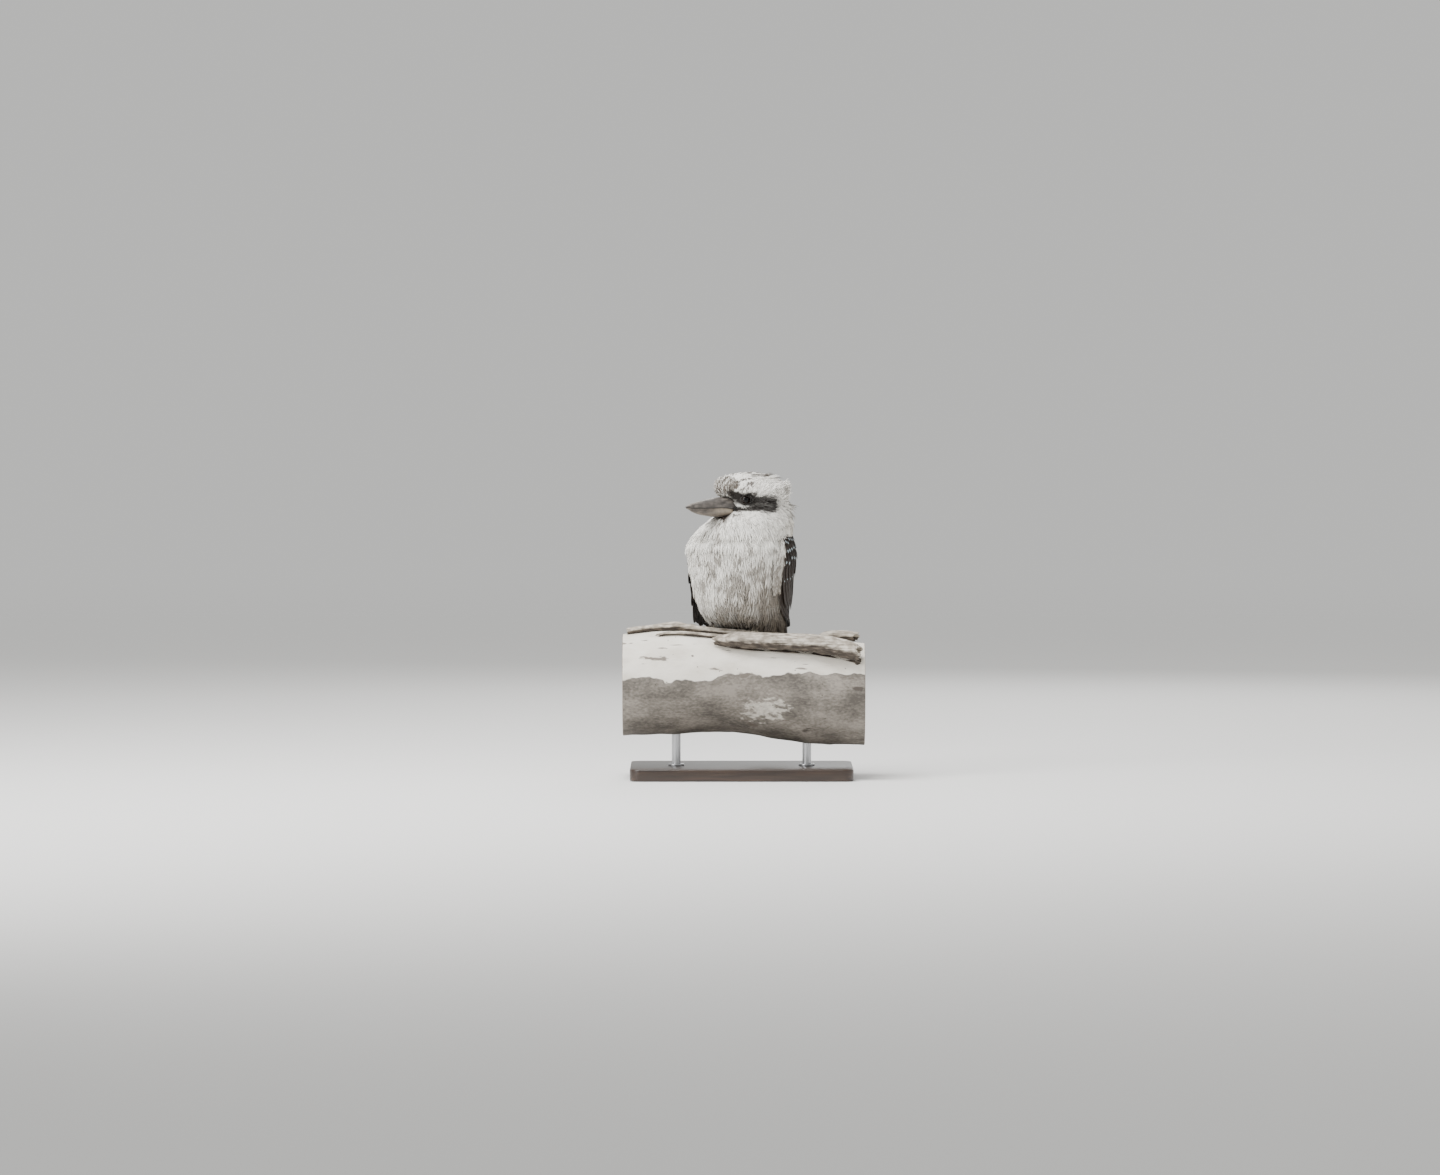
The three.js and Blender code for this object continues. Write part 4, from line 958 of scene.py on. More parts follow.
def bare(points):
    """Where no vane is rooted: in the opening of the lids and behind the bill."""
    forward, side, up = head_places(points)
    inside = (forward > 25) & (np.abs(side) < 14.6) & (up > -15) & (up < 9.5)
    for sign in (1, -1):
        off = points - head_point(EYE["forward"], sign * EYE["side"], EYE["up"])
        inside |= np.hypot(np.hypot(off[:, 0], off[:, 1]) / 8.2, off[:, 2] / 7.0) < 1
    return inside


FANS = (-0.18, 0.0, 0.18)


def fanned(name, root, way, out, length, half, rise, curl, bend, colour, rng):
    """A coat piece in which each root carries a small fan of vanes, none quite like the next."""
    count = len(root)
    across = np.cross(out, way)
    turn = 0.07 * rng.standard_normal(count)
    parts = []
    for fan in FANS:
        a = (fan + turn + 0.06 * rng.standard_normal(count))[:, None]
        long = length * (1 + 0.1 * rng.standard_normal(count))
        tint = colour * (1 + 0.03 * rng.standard_normal((count, 1)))
        spread = way * np.cos(a) + across * np.sin(a)
        parts.append((root, spread, out, long, half, rise - 0.4 * fan**2, curl, bend, tint))
    joined = [np.concatenate(column) for column in zip(*parts)]
    return finished(tufts(name, *joined), COAT, "breast_feathers")


def fall(tree, root, way, out, length):
    """How far the skin has fallen away under the tip of a straight vane, so that the vane can follow it."""
    ends = root + way * length[:, None]
    nearest = np.array([tree.find_nearest(Vector(end))[0] for end in ends])
    return np.clip(np.sum((ends - nearest) * out, axis=1), -4, 9)


def make_coat(skin, tree):
    """The coat of small vanes, rooted all over the skin but not at the lids and bill, under the wings or on
    the back."""
    rng = np.random.default_rng(SEED)
    root, out = scattered(skin, rng)
    keep = ~bare(root)
    # Nothing grows under the middle of a folded wing or on the mantle, which has feathers of its own
    angle, z = round_chest(root), root[:, 2]
    keep &= ~((angle > 118) & (z < 128) & (z > 6))
    for wing in WINGS.values():
        edge = np.array(wing["lower"][::-1], float)
        behind = angle > np.interp(z, edge[:, 0], edge[:, 1]) + 9
        keep &= ~(behind & (wing["side"] * (root @ CHEST_LEFT) > 0) & (z < 124) & (z > 26))
    root, out = root[keep], out[keep]
    _, length, half = tuft_sizes(root)
    # Short feathers part round the toes
    for side in (1, -1):
        toes = np.hypot(*(root - heel(side) - 20 * CHEST_FORWARD)[:, :2].T)
        length = length * (1 - 0.6 * smooth(24, 12, toes) * smooth(18, 8, root[:, 2]))
    way, length, ridge, lock_rise, draw = locked(skin, root, lie(root, out), out, length, rng)
    bend = fall(tree, root, way, out, length)
    # The outer half of a vane shows, so its colour is taken half way to its tip
    shown = root + way * length[:, None] * 0.5
    colour = markings(shown, streaked(shown, draw, rng))
    # Vanes away from a lock's middle are painted darker, a painted shade in the partings between locks; each
    # vane's tone also differs a little at random
    colour = colour * (0.9 + 0.14 * ridge[:, None]) * (1 + 0.035 * rng.standard_normal((len(root), 1)))
    z = root[:, 2]
    fluffed = smooth(154, 126, z) * smooth(0, 40, z)
    noise_rise = 0.03 * rng.standard_normal(len(root))
    rise = mixed(0.24, 0.36, fluffed) + 0.05 * ridge + 0.04 * lock_rise + noise_rise
    # The forehead bulges over the bill, and single wisps stand up from the nape
    forward, _, up = head_places(root)
    brow = smooth(40, 46, forward) * smooth(6, 14, up)
    wisp = (rng.random(len(root)) < 0.05) * smooth(0, -10, forward) * smooth(150, 158, z)
    length = length * (1 + 0.7 * brow + 0.6 * wisp)
    rise = rise + 0.22 * brow + 0.2 * wisp
    curl = mixed(0.15, 0.2, fluffed) + 0.02 * rng.standard_normal(len(root))
    bottoms = [low for _, low in BANDS]
    for (name, low), top in zip(BANDS, [400] + bottoms[:-1]):
        band = (z >= low) & (z < top)
        columns = [values[band] for values in (root, way, out, length, half, rise, curl, bend, colour)]
        fanned("coat_" + name, *columns, rng)


# Tufts over a wing's upper edge, and over its whole front edge
COVER_TOP = 1400
COVER_FRONT = 2000


def make_wing_cover(name, surface, front_to):
    """Soft feathers of the shoulder and flank, which lie over the upper and front edges of a folded wing."""
    rng = np.random.default_rng(SEED + 11)
    over_front = int(COVER_FRONT * front_to)
    s_top = rng.uniform(-0.11, 0.02, COVER_TOP)
    s = np.concatenate([s_top, -0.05 + (front_to + 0.05) * rng.random(over_front) ** 1.3])
    t = np.concatenate([rng.uniform(-0.1, 1.0, COVER_TOP), rng.uniform(-0.13, -0.02, over_front)])
    front = np.repeat([0.0, 1.0], [COVER_TOP, over_front])
    root, out = surface(s, t)
    down = unit(surface(s + 0.03, t)[0] - root)
    back = unit(surface(s, t + 0.03)[0] - root)
    way = unit(down + (0.2 * front)[:, None] * back)
    length = mixed(14, 17, rng.random(len(root))) * mixed(1, 0.8 - 0.3 * smooth(0.4, front_to, s), front)
    bend = root + way * length[:, None] - surface(s + 0.085, t)[0]
    bend = np.clip(np.sum(bend * out, axis=1), -1, 5)
    # A root nearer the edge stands higher, so that the tips lie on the vanes
    near = np.where(front > 0, smooth(-0.13, -0.02, t), smooth(-0.11, 0.02, s))
    root = root + out * mixed(-2.6, 0.6, near)[:, None]
    shown = root + way * length[:, None] * 0.6 - out * 3 - back * (6 * front)[:, None]
    colour = markings(shown, rng.random(len(root)) + 0.1) * (1 - 0.1 * front)[:, None]
    half = np.full(len(root), 1.1)
    rise = 0.2 + 0.04 * rng.standard_normal(len(root))
    curl = 0.15 + 0.02 * rng.standard_normal(len(root))
    fanned("coat_over_" + name, root, way, out, length, half, rise, curl, bend, colour, rng)


# FEATHERS

COLUMNS = np.array([-1, -0.6, -0.07, 0, 0.07, 0.6, 1])
FEW_COLUMNS = np.array([-1, -0.5, 0, 0.5, 1])


def feather(place, half, steps=12, thick=0.45, point=0.6, lift=(0, 0), tilt=0.0, camber=0.0, root=0.45,
            columns=COLUMNS):
    """A closed vane. place(v, x) gives points and outward directions for shares of the way from root to tip
    and shares of the half width. Returns its points, ring by ring, and each point's x and v."""
    v = (1 - (1 - np.linspace(0, 1, steps + 1)) ** 1.35)[:, None]
    ended = np.where(v > point, np.sqrt(np.clip(1 - 0.97 * ((v - point) / (1 - point)) ** 2.3, 0, 1)), 1)
    wide = np.minimum(1, root + 2.2 * v) * ended
    x = columns[None, :]
    points, out = place(v + 0 * x, x * wide)
    shaft = 0.35 * (np.abs(x) < 0.01) * (1 - v)
    rise = mixed(lift[0], lift[1], v) + tilt * np.minimum(1, 5 * v) * x * wide
    rise = rise + camber * half * wide * (1 - x**2) + shaft
    deep = thick * (0.3 + 0.7 * (1 - x**2)) * np.where(v > 0.999, 0.5, 1)
    top = points + out * (rise + deep / 2)[..., None]
    under = points + out * (rise - deep / 2 - shaft)[..., None]
    rings = np.concatenate([top, under[:, ::-1]], axis=1)
    xs = np.concatenate([x + 0 * v, (x + 0 * v)[:, ::-1]], axis=1)
    vs = np.repeat(v, 2 * len(columns), axis=1)
    return rings, xs, vs


def feathers(name, made, material, slot, *replaced):
    """Joins vanes to one mesh. Each entry holds a vane, its length, its tone and the strength of its spot."""
    points, quads, uv, patch, tones = [], [], [], [], []
    start = 0
    cells = math.ceil(math.sqrt(len(made)))
    for index, ((rings, xs, vs), long, tone, spot) in enumerate(made):
        rows, around = xs.shape
        i, j = np.meshgrid(np.arange(rows - 1), np.arange(around), indexing="ij")
        a, b = i * around + j, i * around + (j + 1) % around
        sides = np.stack([a, b, b + around, a + around], axis=-1).reshape(-1, 4)
        k = np.arange(around // 2 - 1)
        first = np.stack([k, around - 1 - k, around - 2 - k, k + 1], axis=-1)
        ends = np.concatenate([first, first[:, ::-1] + (rows - 1) * around])
        quads.append(np.concatenate([sides, ends]) + start)
        points.append(rings.reshape(-1, 3))
        uv.append(np.stack([xs, (1 - vs) * long / 100], axis=-1).reshape(-1, 2))
        half_cell = np.concatenate([np.zeros(around // 2), np.full(around // 2, 0.5)])
        u = (xs + 1) / 4 * 0.9 + half_cell + 0.025
        cell = np.array([index % cells, index // cells])
        patch.append((np.stack([u, 0.03 + 0.94 * vs], axis=-1).reshape(-1, 2) + cell) / cells)
        tones.append(np.tile([tone, spot, 0], (rows * around, 1)))
        start += rows * around
    obj = mesh_of(name, np.concatenate(points), np.concatenate(quads))
    add_uv(obj, "vane", np.concatenate(uv))
    add_uv(obj, "OFBake", np.concatenate(patch))
    add_colour(obj, "feather", np.concatenate(tones))
    return finished(smooth_outwards(obj), material, slot, *replaced)


# The surface that a folded wing lies on: height, reach forwards, reach backwards, half width of the left
# and of the right wing
WING_FORM = [
    [-8, 44, 101, 54, 64],
    [10, 52, 101, 56, 66],
    [30, 58, 97, 59, 66.5],
    [50, 62, 91, 63.5, 66.5],
    [72, 66, 84, 67, 67],
    [96, 70, 75, 71.5, 70],
    [113, 71, 68, 70, 71],
    [127, 67, 63, 67, 67],
    [140, 59, 59, 60, 60],
    [150, 51, 55, 53, 53],
]
# The edges of each folded wing from shoulder to tip: height, and angle from straight ahead; and how far down
# its front edge the flank feathers lie over it
WINGS = {
    "wing_left": {
        "side": 1,
        "lower": [[137, 78], [116, 76], [90, 73], [58, 74.5], [28, 87], [-2, 112]],
        "upper": [[146, 120], [130, 135], [112, 147], [86, 158], [56, 167], [26, 170]],
        "covered": 0.62,
    },
    "wing_right": {
        "side": -1,
        "lower": [[137, 82], [114, 83], [86, 80], [56, 75], [30, 72], [6, 77]],
        "upper": [[146, 120], [130, 135], [110, 146], [80, 154], [46, 157], [14, 150]],
        "covered": 0.4,
    },
}
# How square the form is in plan, and the wing's height over the body at the shoulder and at the tip
FULLNESS = 2.1
WING_CLEAR = (-3.0, 3.2)
RAY_REACH = 140


def edge_at(rows, s):
    """A wing edge's height and angle at shares of the way from shoulder to tip, also a little past it."""
    fine = curve_through(rows, 24)
    shares = np.linspace(0, 1, len(fine))
    past = np.maximum(s - 1, 0) * (len(rows) - 1) * 0.9
    before = np.maximum(-s, 0) * (len(rows) - 1)
    last, first = np.subtract(rows[-1], rows[-2]), np.subtract(rows[0], rows[1])
    return [np.interp(s, shares, fine[:, k]) + last[k] * past + first[k] * before for k in (0, 1)]


def wing_surface(wing, body):
    """A function that gives points on a folded wing and the outward direction there."""

    def flat_point(s, t, off):
        (low_z, low_a), (high_z, high_a) = edge_at(wing["lower"], s), edge_at(wing["upper"], s)
        z, angle = mixed(low_z, high_z, t), np.radians(mixed(low_a, high_a, t))
        ahead, behind, left, right = read(WING_FORM, np.clip(z, -8, 150))
        half = left if wing["side"] > 0 else right
        c, d = np.cos(angle), np.sin(angle)
        reach = np.where(c > 0, ahead, behind) + off
        forward = reach * power(c, 2 / FULLNESS)
        aside = wing["side"] * (half + off) * power(d, 2 / FULLNESS)
        p = forward[..., None] * CHEST_FORWARD + aside[..., None] * CHEST_LEFT + z[..., None] * UP
        clear = mixed(*WING_CLEAR, smooth(0.1, 0.6, s)) + off
        hug = smooth(0.28, 0.05, s)
        flat = p.reshape(-1, 3)
        for n, (x, y, height) in enumerate(flat):
            # The axis leans over to the head's middle above the shoulders
            axis = Vector((3 + 9 * smooth(120, 150, height), -2 - 9 * smooth(120, 150, height), height))
            ray = Vector((x, y, height)) - axis
            hit = body.ray_cast(axis, ray.normalized(), RAY_REACH)[0]
            if hit is not None:
                need = (hit - axis).length + clear.flat[n]
                far = mixed(max(ray.length, need), need, hug.flat[n])
                flat[n] = axis + ray.normalized() * far
        return flat.reshape(p.shape)

    # The surface is laid out once on a net, and read from it between the net's knots
    s_net, t_net = np.linspace(-0.12, 1.25, 56), np.linspace(-0.2, 1.15, 40)
    s, t = np.meshgrid(s_net, t_net, indexing="ij")
    net = flat_point(s, t, np.zeros_like(s))
    outer = flat_point(s, t, np.full_like(s, 4.0))
    outs = unit(outer - net)

    def between(table, s, t):
        i = np.clip((s - s_net[0]) / (s_net[1] - s_net[0]), 0, len(s_net) - 1.001)
        j = np.clip((t - t_net[0]) / (t_net[1] - t_net[0]), 0, len(t_net) - 1.001)
        a, b = i.astype(int), j.astype(int)
        p, q = (i - a)[..., None], (j - b)[..., None]
        low = mixed(table[a, b], table[a + 1, b], p)
        return mixed(low, mixed(table[a, b + 1], table[a + 1, b + 1], p), q)

    return lambda s, t: (between(net, s, t), unit(between(outs, s, t)))


# Tiers of a folded wing, the longest feathers first: how many; roots of the first and last along and across
# the wing; their tips; height of root and tip over the wing's surface; tilt, half width over spacing, spot
# and steps
TIERS = [
    (9, (0.5, 0.04), (0.5, 0.5), (0.97, 0.04), (1.1, 0.5), (-3, -0.6), 1.5, 1.25, 0, 14),
    (12, (0.41, 0.1), (0.41, 0.93), (0.82, 0.12), (0.93, 0.93), (-2, 1.8), 1.2, 0.95, 0, 11),
    (13, (0.29, 0.06), (0.28, 0.94), (0.58, 0.07), (0.62, 0.94), (-2, 2.3), 1.2, 0.85, 0.2, 9),
    (13, (0.19, 0.05), (0.18, 0.95), (0.43, 0.05), (0.45, 0.95), (-2, 2.6), 1.1, 0.85, 0.8, 8),
    (13, (0.11, 0.06), (0.1, 0.94), (0.32, 0.06), (0.33, 0.94), (-2, 2.9), 1.0, 0.85, 1, 8),
    (13, (0.04, 0.04), (0.03, 0.96), (0.22, 0.04), (0.23, 0.96), (-3.2, 2.9), 0.9, 0.85, 0.5, 7),
    (14, (-0.04, 0.03), (-0.05, 0.97), (0.13, 0.03), (0.13, 0.97), (-5, 2.6), 0.8, 0.85, 0, 7),
]


def make_wing(name, body):
    """A folded wing: tiers of vanes on its surface, each vane's lower edge over the next one's upper edge."""
    surface = wing_surface(WINGS[name], body)
    rng = np.random.default_rng(SEED + len(name))
    made = []
    for count, root_a, root_b, tip_a, tip_b, lift, tilt, wide, spotted, steps in TIERS:
        half = wide * (root_b[1] - root_a[1]) / (count - 1)
        for k in range(count):
            share = k / (count - 1)
            root, tip = mixed(np.array([root_a, tip_a]), np.array([root_b, tip_b]), share)
            tip = tip + [0.012 * rng.standard_normal(), 0.008 * rng.standard_normal()]

            def place(v, x, root=root, tip=tip, half=half):
                s, t = mixed(root[0], tip[0], v), mixed(root[1], tip[1], v) + x * half
                return surface(s, t)

            ends = surface(np.array([root[0], tip[0]]), np.array([root[1], tip[1]]))[0]
            vane = feather(place, 9, steps, lift=lift, tilt=-tilt, camber=0.05)
            spot = spotted * (rng.random() < 0.8) * rng.uniform(0.6, 1)
            made.append((vane, np.linalg.norm(ends[1] - ends[0]), rng.random(), spot))
    # The flesh that the tiers grow from, a thick inner sheet under them
    s, t = np.meshgrid(np.linspace(0, 0.62, 9), np.linspace(0.05, 0.95, 8), indexing="ij")
    sheet, out = surface(s, t)
    edge = (s == 0) | (s == s.max()) | (t == t.min()) | (t == t.max())
    rings = np.concatenate([sheet - out * (edge * 1.5)[..., None], (sheet - out * 3.4)[:, ::-1]], axis=1)
    xs = np.concatenate([2 * t - 1, (2 * t - 1)[:, ::-1]], axis=1)
    made.append(((rings, xs * 0.5, np.concatenate([s, s[:, ::-1]], axis=1)), 80, 0.2, 0))
    make_wing_cover(name, surface, WINGS[name]["covered"])
    return feathers(name + "_feathers", made, WING, "wing_feathers", name)


# Spacing of the mantle's feathers in a row and of its rows, the rows' heights, and the back's rough radius
MANTLE = {"apart": 7.0, "row": 6.2, "low": -2, "high": 134, "radius": 72}


def make_mantle(skin_tree):
    """Rounded feathers of the back and rump between the wings, row over row."""
    rng = np.random.default_rng(SEED + 3)
    made = []
    for row, z in enumerate(np.arange(MANTLE["low"], MANTLE["high"], MANTLE["row"])):
        spread = np.interp(z, [0, 60, 110, 146], [64, 52, 52, 70])
        apart = math.degrees(MANTLE["apart"] / MANTLE["radius"])
        around = np.arange(180 - spread, 180 + spread, apart)
        for degrees in around + (row % 2) * apart / 2:
            a = math.radians(degrees + rng.normal(0, 0.6))
            ray = CHEST_FORWARD * math.cos(a) + CHEST_LEFT * math.sin(a)
            axis = Vector((3, -2, z + rng.normal(0, 0.8)))
            hit, out, _, _ = skin_tree.ray_cast(axis, Vector(ray), RAY_REACH)
            if hit is None:
                continue
            hit, out = np.array(hit), np.array(out)
            out = out if out @ ray > 0 else -out
            way = unit(-UP - out * (-UP @ out))
            across = np.cross(out, way)
            long = mixed(17, 25, rng.random()) * np.interp(z, [0, 30, 146], [1.25, 1.1, 0.8])
            half = mixed(4.6, 5.6, rng.random())
            turn = rng.normal(0, 0.08)
            c, s = math.cos(turn), math.sin(turn)
            way, across = way * c + across * s, across * c - way * s

            def place(v, x, hit=hit, way=way, across=across, out=out, long=long, half=half):
                far = long * v
                rise = long * (0.2 * v - 0.13 * v**2) - 1.0 - 0.02 * (x * half) ** 2
                p = hit + far[..., None] * way + (x * half)[..., None] * across + rise[..., None] * out
                return p, np.broadcast_to(out, p.shape)

            vane = feather(place, half, 6, thick=0.4, point=0.5, camber=0.12, columns=FEW_COLUMNS)
            often = 0.6 if z < 42 else 0.0
            made.append((vane, long, rng.random(), 0.9 * (rng.random() < often)))
    return feathers("mantle_feathers", made, WING, "wing_feathers")


# TAIL

TAIL = {"pairs": 6, "length": 148, "half": 11.5, "root": 12, "back": 60, "up": 32, "lean": 33, "layer": 1.1}
TAIL_BOW = 5
COVERT_HALF = 6.5
TAIL_ALONG = -CHEST_FORWARD * math.sin(math.radians(TAIL["lean"])) - UP * math.cos(math.radians(TAIL["lean"]))
TAIL_OUT = np.cross(TAIL_ALONG, CHEST_LEFT)
TAIL_OUT = TAIL_OUT * -np.sign(TAIL_OUT @ CHEST_FORWARD)


def tail_point(along, side, over):
    """A place on the tail from its distances along it, to the left and over it, and the outward direction."""
    share = np.maximum(along - TAIL["root"], 0) / TAIL["length"]
    drop = over - TAIL_BOW * share**2 - 0.004 * side**2
    start = TAIL["up"] * UP - TAIL["back"] * CHEST_FORWARD
    p = start + along[..., None] * TAIL_ALONG + side[..., None] * CHEST_LEFT + drop[..., None] * TAIL_OUT
    return p, np.broadcast_to(TAIL_OUT, p.shape)


def make_tail():
    """Twelve tail feathers, the middle pair on top, with coverts over and under their roots."""
    rng = np.random.default_rng(SEED + 5)
    made = []
    for k in range(TAIL["pairs"]):
        for side in (1, -1):
            over = 2.4 - 2 * k * TAIL["layer"] - (0 if side > 0 else TAIL["layer"])
            long = TAIL["length"] - 0.7 * k * k + rng.normal(0, 0.8)
            aside, splay = side * (k + 0.5) * 1.9, math.tan(math.radians(side * (k + 0.4) * 1.35))

            def place(v, x, over=over, long=long, aside=aside, splay=splay):
                far = TAIL["root"] + long * v
                return tail_point(far, aside + splay * long * v + x * TAIL["half"], over + 0 * v)

            vane = feather(place, TAIL["half"], 34, thick=0.5, point=0.86, camber=0.03, root=0.5)
            made.append((vane, long, rng.random(), 0.75 if k >= 4 else 0.0))
    tail = feathers("tail_feathers", made, TAIL_VANES, "tail_feathers", "tail")
    covered = []
    for way, over, long in ((1, 10.4, 74), (-1, -15.8, 82)):
        for row in range(3):
            for k in np.arange(-2, 2.1, 0.8):
                start, end = 20 - 3 * row, long - 14 * row - 4 * abs(k)
                height = over + way * (0.9 * row - 1.3 * abs(k))

                def place(v, x, k=k, start=start, end=end, height=height, way=way):
                    sunk = 9.5 * (1 - v) ** 2 + way * 2.4 * v
                    aside = COVERT_HALF * (k * (1 - 0.2 * v) + x)
                    return tail_point(mixed(start, end, v), aside, height - way * sunk)

                vane = feather(place, COVERT_HALF, 12, thick=0.4, point=0.5, camber=0.05 * way)
                covered.append((vane, end - start, rng.random(), 0.5 * (way > 0) * (rng.random() < 0.5)))
    feathers("tail_coverts", covered, WING, "wing_feathers")
    return tail


# BILL AND EYES

# Height of the ridge and of the lower edge over the head's origin, half width and mouth line, root to tip
RIDGE = [[0, 10.6], [0.2, 11], [0.34, 10.5], [0.5, 8.7], [0.67, 6.4], [0.85, 3.1], [0.94, 0.7], [1, -1.6]]
KEEL = [[0, -13], [0.2, -15.5], [0.38, -15.6], [0.5, -14.6], [0.67, -12.8], [0.83, -9.2], [0.93, -5], [1, -3]]
HALF = [[0, 1.02], [0.2, 1], [0.4, 0.84], [0.6, 0.62], [0.8, 0.37], [0.92, 0.2], [1, 0.05]]
MOUTH = [[0, -2.2], [0.12, -1.4], [0.3, 0.5], [0.5, 0.5], [0.75, 0.4], [0.87, 0.6], [1, 1.5]]
NOSTRIL = {"forward": 52, "up": 4.4, "length": 3.4, "height": 1.3, "depth": 1.5, "slope": 14}


def make_mandible(name, upper, material, slot):
    """A rounded roof over a nearly flat floor, or the same upside down, lofted from root to tip."""
    end = 1 if upper else 0.965
    t = np.linspace(0, end, 72)[:, None]
    forward = mixed(BILL["root"], BILL["tip"], t)
    mouth = BILL["mouth"] + read(MOUTH, t)[0]
    way = 1 if upper else -1
    floor = mouth - way * 0.05
    rise = np.maximum(np.abs(read(RIDGE if upper else KEEL, t)[0] - floor), 0.5)
    half = np.maximum(BILL["width"] * read(HALF, t)[0] * (1 if upper else 0.93), 0.45)
    a = np.linspace(0, 2 * math.pi, 49)[None, :-1] + math.pi / 48
    c, v = np.cos(a), np.sin(a)
    side = half * power(c, 0.8)
    over = np.where(v > 0, rise * power(v, 0.88), -0.02 * np.abs(v))
    # The cutting edge is drawn in a little above the mouth line, and the culmen is a low ridge
    side = side * (1 - 0.05 * np.exp(-(((over / rise) - 0.2) ** 2) / 0.01) * (v > 0))
    over = over + 0.25 * np.exp(-((c / 0.12) ** 2)) * (v > 0) * smooth(0.02, 0.2, t) * (1 if upper else 0.4)
    points = head_point(forward + 0 * a, side, floor + way * over)
    if upper:
        slope = math.tan(math.radians(NOSTRIL["slope"]))
        off_f = (forward - NOSTRIL["forward"]) / NOSTRIL["length"]
        up = floor + over
        off_u = (up - NOSTRIL["up"] + slope * (forward - NOSTRIL["forward"])) / NOSTRIL["height"]
        slit = np.exp(-((off_f**2 + off_u**2) ** 1.5))
        points = points - (np.sign(side) * slit * NOSTRIL["depth"])[..., None] * HEAD_LEFT
    obj = tube(name + "_horn", points)
    # Where the horn is paler: a painted highlight along the ridge of the upper half, and the pale root of the
    # lower one under the gape
    forward, side, up = head_places(millimetres(vertices(obj)))
    ridge = np.exp(-((side / 3.0) ** 2)) * (up > 0) * 0.75
    root = 0.7 * smooth(-13.5, -7, up) * smooth(82, 46, forward)
    pale_horn_and_highlight = ridge if upper else root
    # A dark line is painted along the mouth, the painted shade of the gap between the mandibles
    line = np.interp((forward - BILL["root"]) / (BILL["tip"] - BILL["root"]), t[:, 0], mouth[:, 0])
    gape = np.exp(-(((up - line) / 0.9) ** 2))
    add_colour(obj, "horn", np.stack([pale_horn_and_highlight, gape, 0 * pale_horn_and_highlight], axis=1))
    return finished(obj, material, slot, name)


def eye_outwards(side):
    """The way that an eye's opening faces: out to its side and a little forwards."""
    turn = math.radians(LIDS["turn"])
    return side * HEAD_LEFT * math.cos(turn) + HEAD_FORWARD * math.sin(turn)


def make_eye(side, iris, pupil):
    """A glass eye with a dark pupil."""
    name = "eye_left" if side > 0 else "eye_right"
    low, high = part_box(name)
    deselect()
    bpy.ops.mesh.primitive_uv_sphere_add(
        segments=48, ring_count=32, radius=EYE["radius"] * MM, location=(low + high) / 2
    )
    eye = named(name + "_glass")
    bpy.ops.object.transform_apply(location=True)
    bpy.ops.object.shade_smooth()
    look = eye_outwards(side)
    middle = Vector((low + high) / 2)
    away = unit(vertices(eye) - np.array(middle))
    # The clear dome stands a little proud of the ball
    bulge = EYE["dome"] * MM * smooth(0.72, 0.98, away @ look)
    move_vertices(eye, vertices(eye) + bulge[:, None] * away)
    eye.data.materials.append(iris)
    eye.data.materials.append(pupil)
    rim = math.cos(math.radians(EYE["pupil_half_angle"]))
    for polygon in eye.data.polygons:
        polygon.material_index = int((polygon.center - middle).normalized() @ Vector(look) > rim)
    finished(eye, None, "eye_dark", name)


def make_lids(side, material):
    """A soft wrinkled ring round the opening, drawn out at its two corners."""
    out = eye_outwards(side)
    along = unit(np.cross(UP, out))
    middle = head_point(EYE["forward"], side * EYE["side"], EYE["up"]) + LIDS["out"] * out
    deselect()
    bpy.ops.mesh.primitive_torus_add(
        major_radius=1, minor_radius=LIDS["thick"] / LIDS["ring"], major_segments=72, minor_segments=14
    )
    lid = named("lids_left" if side > 0 else "lids_right")
    x, y, z = vertices(lid).T
    far = np.hypot(x, y)
    wide = LIDS["ring"] * (far + 0.14 * (x / far) ** 4)
    wrinkle = 1 + 0.012 * np.sin(22 * np.arctan2(y, x)) * (far > 1)
    points = middle + (wide * wrinkle * x / far)[:, None] * along
    points = points + (0.86 * wide * wrinkle * y / far)[:, None] * UP
    points = points + (LIDS["ring"] * z * 1.2)[:, None] * out
    move_vertices(lid, metres(points))
    finished(smooth_outwards(lid), material, "eye_dark")


# FEET

FOOT = {"x": -4, "y": -8, "apart": 28}
TOES = [(-16, 17), (1, 24), (15, 21), (176, 12)]  # turn from straight ahead, length to the claw


def heel(side):
    """Where a foot's toes meet, on the top of the branch."""
    return np.array([FOOT["x"], FOOT["y"], 0]) + side * FOOT["apart"] * CHEST_LEFT


def make_leg(name, side, skin, horn):
    """Shank and toes, rounded from the CAD solid, with the claws past the end of each toe in dark horn."""
    leg = copy_of(name + "_skin", name)
    modified(leg, "REMESH", mode="VOXEL", voxel_size=0.5 * MM)
    modified(leg, "SMOOTH", factor=0.5, iterations=4)
    only(leg)
    bpy.ops.object.shade_smooth()
    leg.data.materials.append(skin)
    leg.data.materials.append(horn)
    centres = millimetres(values_of(leg.data.polygons, "center")) - heel(side)
    claw = np.zeros(len(centres), bool)
    for turn, length in TOES:
        way, aside = facing(CHEST_TURN - side * turn)
        claw |= (centres @ way > length + 1) & (np.abs(centres @ aside) < 4)
    leg.data.polygons.foreach_set("material_index", claw.astype(int))
    leg.data.update()
    finished(leg, None, "foot_skin", name)


# BRANCH

BRANCH_LINE = [
    [-160, -75.5, 69],
    [-96, -72, 70.5],
    [-50, -71.5, 67.5],
    [0, -74.3, 65.8],
    [64, -81.3, 68.8],
    [106, -85.5, 70.8],
    [166, -87.5, 69.5],
]


def branch_radius(x, angle):
    radius = read(BRANCH_LINE, x)[1]
    return radius + 0.9 * np.sin(3 * angle + x / 37) + 0.6 * np.sin(5 * angle - x / 21) - 0.7


